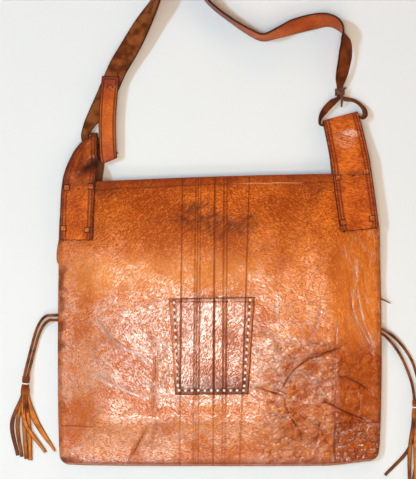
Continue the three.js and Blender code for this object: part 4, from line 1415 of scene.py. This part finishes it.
def tab_surface(name, front_rows, back_rows):
    rows = folded_rows(front_rows, back_rows)
    band, _, form = band_through(rows)
    drape = curve_through([(row[6], 0, 0) for row in rows])
    count = len(rows) - 1
    fold = (len(front_rows) + 1) / count
    pucker_end = fold - 1.5 / count

    def place(u, v):
        point = band(crowd_band(u), v)
        if v < FRAYED_END:
            point.y += sum(depth * math.sin(waves * u) for depth, waves in FRAY)
        share = clamp(drape(v).x)
        on_front = slope_height(point.x, min(point.y, mouth_at(point.x))) + TAB_LIFT
        point.z = lerp(point.z, on_front, share)
        if v < pucker_end:
            for x1, y1, x2, y2, depth, width, _ in PUCKERS[name]:
                away = away_from(point.x, point.y, x1, y1, x2, y2) / width
                point.z -= depth * math.exp(-away * away)
        return point

    def marks(u, v):
        width = form(v).x
        inward = width / 2 - abs((crowd_band(u) - 0.5) * width)
        along = TAB_RUN * v
        rim = min(inward, along, TAB_RUN - along)
        # How dark the painted shade of the puckers is here
        crease = 0.0
        if v < fold:
            x, y, _ = band(crowd_band(u), v)
            for x1, y1, x2, y2, _, reach, dark in PUCKERS[name]:
                away = away_from(x, y, x1, y1, x2, y2) / reach
                crease = max(crease, dark * math.exp(-(away**2)))
        return {"rim": rim, "across": inward, "along": along, "crease": crease}

    return place, marks


tab_surfaces = {name: tab_surface(name, *rows) for name, rows in TAB_ROWS.items()}

# %% [markdown]
# The tabs' hide is redder and darker than the panel's, with two tooled lines along each edge and black edges.
# Glints on its crests and on a few spots are painted, and so is the shade in the puckers. The lines follow
# the band's long sides, so the finish reads the distance from them that each point carries.

# %% Finish of the tabs
# Painted glints, pale spots where wrinkles catch the light: middle, half widths, strength
TAB_GLINTS = [
    (139.0, 349.0, 9.0, 4.5, 0.5),
    (133.0, 342.0, 12.0, 12.0, 0.15),
    (-132.0, 324.0, 5.0, 2.2, 0.3),
]
# Tooled lines: how far in from the edge, and strength
TAB_LINES = [(2.9, 0.75), (6.0, 0.65)]
TAB_REDS = ((0.48, 0.070, 0.004, 1), (0.78, 0.160, 0.012, 1))
TAB_SUEDES = ((0.16, 0.055, 0.022, 1), (0.26, 0.10, 0.04, 1))
TAB_TONES = {
    "border": (0.34, 0.035, 0.005, 1),
    "crest glints": (0.92, 0.25, 0.04, 1),
    "grooves": (0.24, 0.030, 0.003, 1),
    "dark top": (0.17, 0.020, 0.003, 1),
    "painted glints": (0.95, 0.66, 0.50, 1),
    "lines": (0.12, 0.014, 0.004, 1),
    "pucker shade": (0.022, 0.007, 0.005, 1),
    "edge": (0.035, 0.010, 0.005, 1),
    "foot": (0.07, 0.014, 0.005, 1),
}


def tab_finish(name, turn, length, dark_above, black_edge):
    hide = Finish(name)
    mm = hide.millimetres()
    x, y, _ = hide.axes(mm)
    grain, groove, crest = hide_grain(hide, mm, turn, (), length, 1.8)
    outside = hide.step(hide.mark("side"), -0.2, 0.6)
    inward = hide.mark("across")
    patches = hide.noise(mm, 0.05, 4)
    flecks = hide.noise(mm, 0.22, 3)
    lines = 0.0
    for inset, strength in TAB_LINES:
        lines = hide.step(abs(inward - inset), 0.4, 1.3, strength, 0.0) + lines
    top_dark = hide.step(y, dark_above, dark_above + 30) * hide.step(patches, 0.3, 0.7, 1.0, 0.55)
    # Painted glints at those spots, kept off the grooves
    worn = [spot(hide, x, y, row, 1.3) * (1 - groove) for row in TAB_GLINTS]
    edge = hide.step(hide.mark("rim") + (flecks - 0.5) * 2.0, 0.3, black_edge, 0.95, 0.0)
    foot = hide.step(hide.mark("along") + (flecks - 0.5) * 6.0, 1.0, 4.0, 0.85, 0.0)
    colour = hide.lay(
        hide.mix(hide.step(patches, 0.34, 0.66), *TAB_REDS),
        (hide.step(inward, 5.5, 8.5, 0.4, 0.0), TAB_TONES["border"]),
        # Painted glints: the crests of the plates are lightened.
        (crest * 0.25, TAB_TONES["crest glints"]),
        (groove * 0.65, TAB_TONES["grooves"]),
        (top_dark * 0.85, TAB_TONES["dark top"]),
        *[(mask, TAB_TONES["painted glints"]) for mask in worn],
        (lines, TAB_TONES["lines"]),
        # Painted shade in the puckers.
        (hide.mark("crease"), TAB_TONES["pucker shade"]),
        (edge, TAB_TONES["edge"]),
        (foot, TAB_TONES["foot"]),
    )
    suede = hide.mix(flecks, *TAB_SUEDES)
    colour, roughness = two_sided(hide, outside, colour, 0.42 + groove * 0.2, suede)
    height = grain * outside - lines * 0.4 + hide.noise(mm, 0.08, 2) * 1.2
    return hide.finish(colour, roughness, height, 1.0, outside * (1 - groove) * 0.03, **DULL)


tab_hides = {
    "tab_left": tab_finish("tab_left_hide", 35, 4.0, 276.0, 2.8),
    "tab_right": tab_finish("tab_right_hide", -8, 7.0, 420.0, 1.7),
}
for name, (place, marks) in tab_surfaces.items():
    tab = new_leather()
    add_sheet(tab, place, TAB_LEATHER, 26, 170, marks)
    make_piece(tab, name + "_hide", tab_hides[name], [name])

# %% [markdown]
# Four square knots of leather lace hold each tab's front end. One knot is a small cushion: a flat cube with
# its edges bevelled round, laid on the tab and turned with it. Under each knot a slightly larger near-black
# cushion is its painted shade, and a near-black patch, the painted shade of a rivet hole, sits between the
# upper two.

# %% Tab stitches
SQUARE_KNOTS = {
    "tab_left": [(-159.6, 291.4), (-133.9, 292.4), (-137.6, 246.8), (-163.0, 248.6)],
    "tab_right": [(124.6, 301.4), (154.2, 308.2), (129.0, 254.6), (160.4, 259.2)],
}
# Painted shade of a rivet hole: place and size
PIN_HOLES = {
    "tab_left": ((-146.9, 289.9), (2.0, 1.8, 0.7)),
    "tab_right": ((141, 303.8), (3.6, 2.0, 0.7)),
}
KNOT_SIZE = (5.0, 4.6, 1.7)
KNOT_RISE = 0.7
# Size of the near-black cushion under each knot, its painted shade, and how high it lies
KNOT_SHADE_SIZE = (KNOT_SIZE[0] + 1.7, KNOT_SIZE[1] + 1.7, 0.9)
SHADE_RISE = 0.1
CUSHION_ROUNDING = 0.42


def on_tab(name, x, y):
    """The nearest point of a tab's front layer to a place in plan, and the surface's normal there."""
    place = tab_surfaces[name][0]
    tries = [(i / 24, j / 120) for i in range(25) for j in range(62)]
    u, v = min(tries, key=lambda at: (place(*at).xy - Vector((x, y))).length)
    across = place(min(1, u + 0.02), v) - place(max(0, u - 0.02), v)
    along = place(u, v + 0.005) - place(u, v - 0.005)
    normal = across.cross(along).normalized()
    return Vector((x, y, place(u, v).z)) + normal * TAB_LEATHER / 2, across.normalized(), normal


def add_cushion(bm, place, across, normal, size):
    along = normal.cross(across).normalized()
    turn = Matrix((across, along, normal)).transposed().to_4x4()
    form = Matrix.Translation(place) @ turn @ Matrix.Diagonal((*size, 1))
    made = bmesh.ops.create_cube(bm, size=1, matrix=form)["verts"]
    edges = list({edge for vert in made for edge in vert.link_edges})
    offset = min(size) * CUSHION_ROUNDING
    bmesh.ops.bevel(bm, geom=edges, offset=offset, affect="EDGES", segments=3, profile=0.5, material=-1)


knots = bmesh.new()
shadows = bmesh.new()
for name, places in SQUARE_KNOTS.items():
    for x, y in places:
        point, across, normal = on_tab(name, x, y)
        add_cushion(knots, point + normal * KNOT_RISE, across, normal, KNOT_SIZE)
        add_cushion(shadows, point + normal * SHADE_RISE, across, normal, KNOT_SHADE_SIZE)
    pin_place, pin_size = PIN_HOLES[name]
    point, across, normal = on_tab(name, *pin_place)
    add_cushion(shadows, point - normal * SHADE_RISE, across, normal, pin_size)
make_piece(knots, "tab_knots", knot_leather)
make_piece(shadows, "tab_knot_shade", dark_thread_and_shade)

# %% [markdown]
# The shoulder strap is one long band. It is sewn to itself above the left tab, runs through that tab, twists
# on edge at the top, dips, turns down, and narrows to a lace that is tied through the right tab. Its rows are
# those of the solid. The height in a row is that of the strap's lower edge, because leather lies on that.

# %% Rows of the strap
STRAP_LEATHER = 2.2
# Rows: x, y, lift of the lower edge, width, across, tilt
STRAP_LOOP = [
    (-114, 408.6, 9.0, 18.4, 178, 0),
    (-116, 387.6, 8.4, 18.2, 177, 0),
    (-117.6, 362, 8.2, 18, 179, 0),
    (-117.4, 341, 7.9, 18, 184, 0),
    (-116.2, 322.6, 6.6, 18.2, 200, 0),
]
STRAP_RUN = [
    (-116.8, 322.6, 2.4, 17, 205, 0),
    (-124, 328.4, 3, 13.5, 226, 0),
    (-131.6, 334, 3.4, 11, 236, 0),
    (-139.4, 339, 3.4, 9.2, 222, 0),
    (-141.4, 346.8, 3, 8.8, 188, 0),
    (-137.6, 357.2, 1.6, 11.8, 163, 0),
    (-128, 372.6, 3.2, 17.6, 152, 0),
    (-116.9, 394.2, 5.4, 20, 150, 0),
    (-106.3, 417.9, 6.6, 20.5, 150, 0),
    (-93.6, 439.5, 5.6, 21, 151, -8),
    (-79.1, 466.3, 1.6, 21, 152, -32),
    (-66.3, 488.9, 0.3, 21, 152, -60),
    (-57, 508.5, 0.3, 21, 146, -80),
    (-42.6, 521, 0.3, 21, 92, -90),
    (-26.4, 506, 0.3, 21, 42, -91),
    (-9, 484.6, 0.3, 21, 46, -91),
    (12.6, 467.6, 0.3, 21, 53, -92),
    (32, 455.3, 0.3, 21, 62, -97),
    (45.6, 449.6, 0.3, 21, 88, -101),
    (62.6, 454.8, 0.3, 21, 106, -113),
    (78, 460.9, 0.3, 21, 106, -128),
    (97.5, 466, 0.3, 21, 102, -131),
    (113.4, 468, 0.3, 21, 94, -120),
    (123, 464.6, 0.3, 21, 62, -110),
    (129.4, 457.4, 0.3, 21, 22, -92),
    (133.4, 447, 1.6, 21, -2, -58),
    (132.7, 431.4, 4.4, 21, -8, -46),
    (129.8, 414.5, 4.6, 18, -9, -42),
    (128, 404.6, 4.4, 11, -6, -20),
    (127.6, 398.5, 4, 6.8, -4, -4),
    (127.5, 388.4, 4.5, 5.6, -5, 0),
    (119.6, 381.6, 4, 7.2, -44, 0),
    (111.8, 373.2, 2.8, 7.2, -38, -20),
    (107, 364.6, 1.6, 6.4, -8, -62),
    (106.8, 358.6, 2.2, 5.4, 40, -76),
    (111.4, 357.4, 2.75, 4.6, 104, -88),
    (129, 362.1, 2.85, 4.4, 105, -90),
    (146.2, 366.7, 2.8, 4.6, 105, -88),
    (151.4, 365.4, 1.8, 6.6, 72, -64),
    (154.2, 368.2, 1.2, 7.2, 140, -54),
    (153.4, 373.8, 0.9, 7.2, 192, -66),
    (149, 379.4, 0.6, 6.8, 220, -80),
    (142.2, 384, 0.6, 5.8, 238, -72),
    (135, 385.2, 0.9, 4.6, 252, -40),
    (129.2, 387.8, 1.5, 3.5, 222, -8),
    (127.8, 394, 1.65, 3.4, 192, 0),
]


def raised(row):
    """A row with the height of its middle line in place of its lower edge's."""
    x, y, lift, width, across, tilt = row
    lean = math.radians(tilt)
    half = (width * abs(math.sin(lean)) + STRAP_LEATHER * abs(math.cos(lean))) / 2
    return (x, y, lift + half, width, across, tilt)


strap_rows = folded_rows([raised(row) for row in STRAP_LOOP], [raised(row) for row in STRAP_RUN])
strap_band, strap_line, strap_form = band_through(strap_rows)
print("rows of the strap:", len(strap_rows))

# %% [markdown]
# The finish changes along the strap, so every point carries its distance from the sewn end. Distances are
# summed along the middle line in short steps, one for each row of the grid.

# %% Lengths along the strap
STRAP_STEPS = 520
strap_lengths = [0.0]
for i in range(STRAP_STEPS):
    stretch = strap_line((i + 1) / STRAP_STEPS) - strap_line(i / STRAP_STEPS)
    strap_lengths.append(strap_lengths[-1] + stretch.length)


def strap_place(u, v):
    return strap_band(crowd_band(u), v)


def strap_marks(u, v):
    width = strap_form(v).x
    across = (crowd_band(u) - 0.5) * width
    along = strap_lengths[round(v * STRAP_STEPS)]
    rim = min(width / 2 - abs(across), along, strap_lengths[-1] - along)
    return {"rim": rim, "along": along}


def along_at_row(index):
    """How far along the strap one of its rows lies."""
    return strap_lengths[round(index / (len(strap_rows) - 1) * STRAP_STEPS)]


def along_at_run(index):
    """How far along the strap a row of its long run lies."""
    return along_at_row(len(STRAP_LOOP) + len(TURN_ANGLES) + index)


# Where the sewn loop ends, and where on the long run the strap is dark, crests, narrows and branches
LOOP_END = along_at_row(len(STRAP_LOOP) + 1)
DARK_FROM = (along_at_run(12), along_at_run(13))
DARK_TO = (along_at_run(17), along_at_run(16))
CREST = (along_at_run(18), along_at_run(24))
LACE_START = along_at_run(28)
BRANCH_START = along_at_run(36)
print("strap length", round(strap_lengths[-1]), "mm")

# %% [markdown]
# The strap's outer side is smooth and orange, its inner side rough and brown. The sewn loop is tanner than
# the rest, with a dark end and a painted highlight along its middle, and the narrow lace is darkest.

# %% Strap
LOOP_TANS = ((0.40, 0.053, 0.003, 1), (0.64, 0.125, 0.009, 1))
STRAP_REDS = ((0.44, 0.068, 0.010, 1), (0.66, 0.145, 0.026, 1))
FLESH_LEFT = ((0.105, 0.022, 0.004, 1), (0.27, 0.071, 0.016, 1))
FLESH_RIGHT = ((0.12, 0.022, 0.003, 1), (0.25, 0.052, 0.007, 1))
FLESH_ROUGHNESS = 0.75
STRAP_TONES = {
    "loop end": (0.26, 0.028, 0.012, 1),
    "loop middle": (0.88, 0.21, 0.018, 1),
    "dark top": (0.17, 0.028, 0.005, 1),
    "grooves": (0.22, 0.028, 0.004, 1),
    "lines": (0.085, 0.012, 0.003, 1),
    "branch": (0.34, 0.10, 0.03, 1),
    "lace": (0.085, 0.015, 0.003, 1),
    "edge": (0.032, 0.009, 0.004, 1),
}


def strap_grain_side(hide, along, patches, groove, tooled):
    """Colour of the smooth side."""
    loop = hide.step(along, LOOP_END, LOOP_END + 4, 1.0, 0.0)
    # Painted highlight along the middle of the sewn loop
    loop_highlight = hide.step(along, 20, 34) * hide.step(along, 74, 60)
    top_dark = hide.step(along, *DARK_FROM) * hide.step(along, *DARK_TO)
    return hide.lay(
        hide.mix(loop, hide.mix(patches, *STRAP_REDS), hide.mix(patches, *LOOP_TANS)),
        (hide.step(along, 7, 13, 1.0, 0.0) * 0.8, STRAP_TONES["loop end"]),
        (loop_highlight * loop * 0.3, STRAP_TONES["loop middle"]),
        (top_dark * 0.7, STRAP_TONES["dark top"]),
        (groove * 0.4, STRAP_TONES["grooves"]),
        (tooled * (0.25 + loop * 0.75), STRAP_TONES["lines"]),
    )


def strap_flesh_side(hide, along, streaks):
    """Colour of the rough side."""
    worn = hide.step(streaks, 0.36, 0.64)
    flesh = hide.mix(hide.step(along, *CREST), hide.mix(worn, *FLESH_LEFT), hide.mix(worn, *FLESH_RIGHT))
    branch = hide.step(along, BRANCH_START, BRANCH_START + 8)
    return hide.mix(branch * 0.7, flesh, STRAP_TONES["branch"])


def strap_finish():
    hide = Finish("strap_hide")
    mm = hide.millimetres()
    outside = hide.step(hide.mark("side"), -0.3, 0.3)
    rim = hide.mark("rim")
    along = hide.mark("along")
    grain, groove, _ = hide_grain(hide, mm, 20, (), 4.0, 1.6)
    patches = hide.step(hide.noise(mm, 0.045, 4), 0.34, 0.66)
    flecks = hide.noise(mm, 0.25, 3)
    streaks = hide.noise(mm, 0.09, 3)
    tooled = hide.step(abs(rim - 2.7), 0.35, 1.0, 0.85, 0.0)
    smooth_side = strap_grain_side(hide, along, patches, groove, tooled)
    flesh = strap_flesh_side(hide, along, streaks)
    polish = 0.40 + (flecks - 0.5) * 0.2
    colour, roughness = two_sided(hide, outside, smooth_side, polish, flesh, FLESH_ROUGHNESS)
    wide = hide.step(along, LACE_START - 10, LACE_START, 1.0, 0.0)
    edge = hide.step(rim + (flecks - 0.5) * 1.0, 0.4, 1.7, 0.95, 0.0) * (wide * 0.35 + 0.6)
    colour = hide.lay(
        colour,
        ((1 - wide) * hide.step(streaks, 0.4, 0.62, 0.7, 0.3), STRAP_TONES["lace"]),
        (edge, STRAP_TONES["edge"]),
    )
    height = grain * (outside * 0.7 + 0.3) + flecks * 0.4 - tooled * 0.35 * outside
    return hide.finish(colour, roughness, height, 0.9, outside * 0.03, **DULL)


strap = new_leather()
add_sheet(strap, strap_place, STRAP_LEATHER, 12, STRAP_STEPS, strap_marks)
make_piece(strap, "strap_hide", strap_finish(), ["shoulder_strap"])

# %% [markdown]
# The sewn end of the strap carries a small curved stitch and two tarnished rivets, and a dark knot of thread
# sticks out at the foot of the loop. The stitch is a row of beads on a half circle.

# %% Loop fittings
LOOP_FACE = STRAP_LOOP[0][2] + STRAP_LEATHER
STITCH_MIDDLE = (-114.8, 396.6)
STITCH_RADIUS = 3.0
STITCH_BEAD = (0.8, 0.55, 0.5)
STITCH_STEPS = 8
THREAD_KNOT = (-107.6, 328.0, 8.4)
THREAD_KNOT_SIZE = (1.2, 1.0, 0.9)
RIVET_PLACES = [(-108.9, 397.6), (-114.8, 394.0)]
RIVET_SIZE = (1.3, 1.2, 0.55)

stitch = bmesh.new()
for i in range(STITCH_STEPS + 1):
    angle = math.pi * i / STITCH_STEPS
    x = STITCH_MIDDLE[0] + STITCH_RADIUS * math.cos(angle)
    y = STITCH_MIDDLE[1] + STITCH_RADIUS * math.sin(angle)
    add_bead(stitch, Vector((x, y, LOOP_FACE - 0.2)), STITCH_BEAD, angle + math.pi / 2)
add_bead(stitch, Vector(THREAD_KNOT), THREAD_KNOT_SIZE, 0.4)
make_piece(stitch, "loop_stitch", dark_thread_and_shade, sharp=80)
rivets = bmesh.new()
for x, y in RIVET_PLACES:
    add_bead(rivets, Vector((x, y, LOOP_FACE - 0.25)), RIVET_SIZE, 0.0)
make_piece(rivets, "loop_rivets", tarnished_rivet, sharp=80)

# %% [markdown]
# The strap's narrowed end is bound to itself with three turns of dark lace, and one short tail lies over it.
# Each turn is a band that follows a squared ring round the strap, a little slanted, as lace winds.

# %% Strap tie
TIE = {"x": 127.6, "y": 393.0, "z": 4.25, "inner_x": 3.9, "inner_z": 2.9, "wall": 1.2, "turn": 2.5}
TIE_OFFSETS = (-2.25, 0.0, 2.25)
TIE_SLANT = 0.45
TIE_TOP = TIE["z"] + TIE["inner_z"] + TIE["wall"] * 0.45
# Rows from the middle of the tie and its top: x, y, z, width, across, tilt
TIE_TAIL = [(1.4, -1, 0, 2.4, 180, 0), (1.8, -8, -0.2, 2.2, 180, 0), (2.0, -16, -4, 1.7, 180, 0)]
TIE_KNOB = [(3.4, 1.6, -0.6, 2.0, 120, 0), (5.2, 3.4, -0.8, 1.8, 110, 0), (6.6, 4.0, -1.4, 1.2, 95, 0)]


def tie_turn(offset):
    """One turn: round the ring with v, along the strap with u."""

    def place(u, v):
        angle = 2 * math.pi * v
        reach_x = TIE["inner_x"] + TIE["wall"] / 2
        reach_z = TIE["inner_z"] + TIE["wall"] / 2
        squared = (abs(math.cos(angle)) ** 4 + abs(math.sin(angle)) ** 4) ** -0.25
        x = TIE["x"] + reach_x * math.cos(angle) * squared
        z = TIE["z"] + reach_z * math.sin(angle) * squared
        slant = TIE_SLANT * math.cos(angle) + offset
        return Vector((x, TIE["y"] + (u - 0.5) * TIE["turn"] + slant, z))

    return place


def tie_marks(u, v):
    return {"rim": min(u, 1 - u) * TIE["turn"]}


def from_tie(rows):
    return [(TIE["x"] + x, TIE["y"] + y, TIE_TOP + z, *form) for x, y, z, *form in rows]


tie = new_leather()
for offset in TIE_OFFSETS:
    add_sheet(tie, tie_turn(offset), TIE["wall"], 6, 48, tie_marks)
add_lace(tie, from_tie(TIE_TAIL), 1.4, (4, 14), 2.4)
add_lace(tie, from_tie(TIE_KNOB), 1.3, (4, 10), 2.0)
bmesh.ops.remove_doubles(tie, verts=tie.verts, dist=0.01)
make_piece(tie, "tie_lace", tie_leather, ["strap_tie"])

# %% [markdown]
# A tassel is a head wound round both thongs, a binding of cream thread, and six cut strips that fan out on
# the table. The head is a profile spun round its axis and flattened. The strips are thin bands.

# %% Forms of the tassels
# Radius and distance along the axis
TASSEL_HEAD = [
    (0, 0), (3.7, 0.05), (4.0, 0.5), (4.0, 2.9), (3.75, 3.1), (4.1, 3.4), (4.1, 6.0), (3.3, 7.2),
    (3.3, 8.6), (4.0, 10), (4.35, 14), (4.5, 18), (4.3, 18.8), (0, 18.8),
]
TASSEL_FLATNESS = 0.85
TASSEL_LENGTH = max(along for _, along in TASSEL_HEAD)
TASSEL_WIDEST = max(radius for radius, _ in TASSEL_HEAD)
TASSEL_CLEARANCE = 0.1
STRIP_LEATHER = 1.5
TASSEL_PLACES = {"tassel_left": (-203.7, 92.6, -95), "tassel_right": (208.3, 67.6, -91)}
# Strips: aside at the head, half way and at the end, reach, width, tip width, lift
TASSEL_STRIPS = {
    "tassel_left": [
        (-2.4, -11, -2, 66, 4.4, 3.6, 0.15),
        (-1.6, -5, 2.5, 67, 4.2, 3.4, 1.2),
        (-1, 3, 27, 60, 4.8, 3.2, 2.9),
        (0, 2.2, 7.6, 69, 4.6, 4.4, 0.15),
        (1.4, 7.6, 11.8, 70, 4.6, 4.4, 1.3),
        (2.4, 14.5, 37, 58, 6.8, 2.4, 0.15),
    ],
    "tassel_right": [
        (-2.4, -5, -31, 62, 3.8, 3, 0.15),
        (-1.8, -5.4, -5, 69, 4.4, 3.5, 1.4),
        (0, 1.5, 2.4, 70, 6.5, 5.2, 2.8),
        (1, 3.4, -1, 67, 4.2, 3.4, 0.15),
        (1.8, 8, 6.5, 68, 4.4, 3.5, 1.2),
        (2.4, 12, 24, 63, 4.2, 3, 0.15),
    ],
}


def tassel_form(name):
    """The matrix from a tassel's own axis, along +Y from its collar, to its place."""
    x, y, heading = TASSEL_PLACES[name]
    turn = Matrix.Rotation(math.radians(heading - 90), 4, "Z")
    return Matrix.Translation((x, y, TASSEL_WIDEST * TASSEL_FLATNESS + TASSEL_CLEARANCE)) @ turn


def spin_profile(bm, profile, form, steps=20):
    """Spins a profile of radius and distance along the axis into a closed body."""
    verts = [bm.verts.new((radius, along, 0)) for radius, along in profile]
    edges = [bm.edges.new(pair) for pair in zip(verts, verts[1:])]
    turn = {"cent": (0, 0, 0), "axis": (0, 1, 0), "angle": 2 * math.pi, "steps": steps, "use_merge": True}
    bmesh.ops.spin(bm, geom=verts + edges, **turn)
    bmesh.ops.remove_doubles(bm, verts=[vert for vert in bm.verts if not vert.tag], dist=0.001)
    whole = [vert for vert in bm.verts if not vert.tag]
    bmesh.ops.transform(bm, matrix=form @ Matrix.Diagonal((1, 1, TASSEL_FLATNESS, 1)), verts=whole)
    for vert in whole:
        vert.tag = True


def strip_rows(name, strip):
    start, middle, end, reach, width, tip, lift = strip
    heading = TASSEL_PLACES[name][2]
    form = tassel_form(name)
    lean = math.degrees(math.atan2(end - middle, reach / 2))
    head_z = TASSEL_WIDEST * TASSEL_FLATNESS
    strip_z = lift + STRIP_LEATHER / 2

    def row(aside, along, z, wide, turn):
        point = form @ Vector((-aside, along, 0))
        return (point.x, point.y, z, wide, heading + 90 + turn, 0)

    return [
        row(start, TASSEL_LENGTH - 6, head_z, width * 0.7, 0),
        row(start, TASSEL_LENGTH + 2, lerp(head_z, strip_z, 0.4), width * 0.85, 0),
        row(middle, TASSEL_LENGTH + reach / 2, strip_z, width, lean * 0.4),
        row(end, TASSEL_LENGTH + reach, STRIP_LEATHER / 2 + 0.25, tip, lean),
    ]


# %% [markdown]
# Every strip is cut from another bit of hide, so each carries its own lightness, from dark brown to orange
# tan. The finish only mixes between those two, with dark cut edges.

# %% Tassels
HEAD_LIGHT = 0.36
HEAD_RIM = 2.0
STRIP_LIGHTS = {
    "tassel_left": (0.15, 0.3, 0.85, 0.5, 0.75, 0.7),
    "tassel_right": (0.1, 0.4, 0.8, 0.3, 0.6, 0.65),
}
TASSEL_BROWNS = ((0.15, 0.028, 0.004, 1), (0.70, 0.190, 0.020, 1))
TASSEL_FLECK = (0.16, 0.030, 0.005, 1)
TASSEL_EDGE = (0.045, 0.010, 0.003, 1)


def tassel_finish():
    hide = Finish("tassel_hide")
    mm = hide.millimetres()
    flecks = hide.noise(mm, 0.2, 3)
    light = hide.mark("across") + (hide.noise(mm, 0.06, 2) - 0.5) * 1.2
    colour = hide.lay(
        hide.mix(hide.step(light, 0.1, 0.8), *TASSEL_BROWNS),
        (hide.step(flecks, 0.45, 0.7) * 0.5, TASSEL_FLECK),
        (hide.step(hide.mark("rim"), 0.3, 1.2, 0.9, 0.0), TASSEL_EDGE),
    )
    height = flecks * 0.5 + hide.noise(mm, 0.8, 2) * 0.2
    return hide.finish(colour, 0.6, height, 0.7, Specular_IOR_Level=0.2)


tassel_hide = tassel_finish()
tassels = {}
for name, strips in TASSEL_STRIPS.items():
    head = new_leather()
    spin_profile(head, TASSEL_HEAD, tassel_form(name))
    for vert in head.verts:
        vert[head.verts.layers.float["rim"]] = HEAD_RIM
        vert[head.verts.layers.float["across"]] = HEAD_LIGHT
    for strip, light in zip(strips, STRIP_LIGHTS[name]):
        add_lace(head, strip_rows(name, strip), STRIP_LEATHER, (5, 30), strip[4], across=light)
    tassels[name] = make_piece(head, name + "_strips", tassel_hide, [name])

# %% [markdown]
# Two turns of cream thread bind each head. One turn is a small circle spun round the tassel's axis.

# %% Tassel binding
BINDING_TURNS = 2
BINDING_START = 7.5
BINDING_PITCH = 0.56
BINDING_RADIUS = 3.5
THREAD_RADIUS = 0.32
THREAD_ANGLES = [math.pi / 3 * i for i in range(7)]

binding = bmesh.new()
for name in TASSEL_PLACES:
    for turn in range(BINDING_TURNS):
        along = BINDING_START + turn * BINDING_PITCH
        ring = [
            (BINDING_RADIUS + THREAD_RADIUS * math.cos(angle), along + THREAD_RADIUS * math.sin(angle))
            for angle in THREAD_ANGLES
        ]
        spin_profile(binding, ring, tassel_form(name))
make_piece(binding, "tassel_binding", cream_lace, sharp=80)

# %% [markdown]
# Once the tassels exist, each thong is paired with its tassel: the upper thong of each pair carries one.

for name, (thong, start, length) in thongs.items():
    tassel = tassels["tassel_left" if "left" in name else "tassel_right"]
    carried = [tassel] if "upper" in name else []

# %% [markdown]
# Last, two loose ends at the side seams: a thin tapered lace on the right, and a narrow tongue of the seam's
# own leather on the left.

# %% Loose ends
LACE_END = [(169.6, 175, 6.4, 1.8, 65, 0), (175, 172.6, 5.8, 1.6, 64, 0), (181, 169.6, 5.0, 0.9, 62, 0)]
TONGUE = [
    (-168.4, 236, 4.4, 2.0, 172, 0),
    (-169.4, 226, 4.0, 3.4, 174, 0),
    (-169.8, 216, 3.8, 3.6, 178, 0),
    (-169.0, 211.5, 4.0, 2.2, 190, 0),
]
TONGUE_LIGHT = 0.5

lace_end = new_leather()
add_lace(lace_end, LACE_END, 1.2, (3, 10), 1.6)
make_piece(lace_end, "side_lace_end", tie_leather)
tongue = new_leather()
add_lace(tongue, TONGUE, 1.4, (4, 14), 3.4, across=TONGUE_LIGHT)
make_piece(tongue, "seam_tongue", tassel_hide)

# %% [markdown]
# Last, the scene is brought up to date.

# %% Update the scene
bpy.context.view_layer.update()
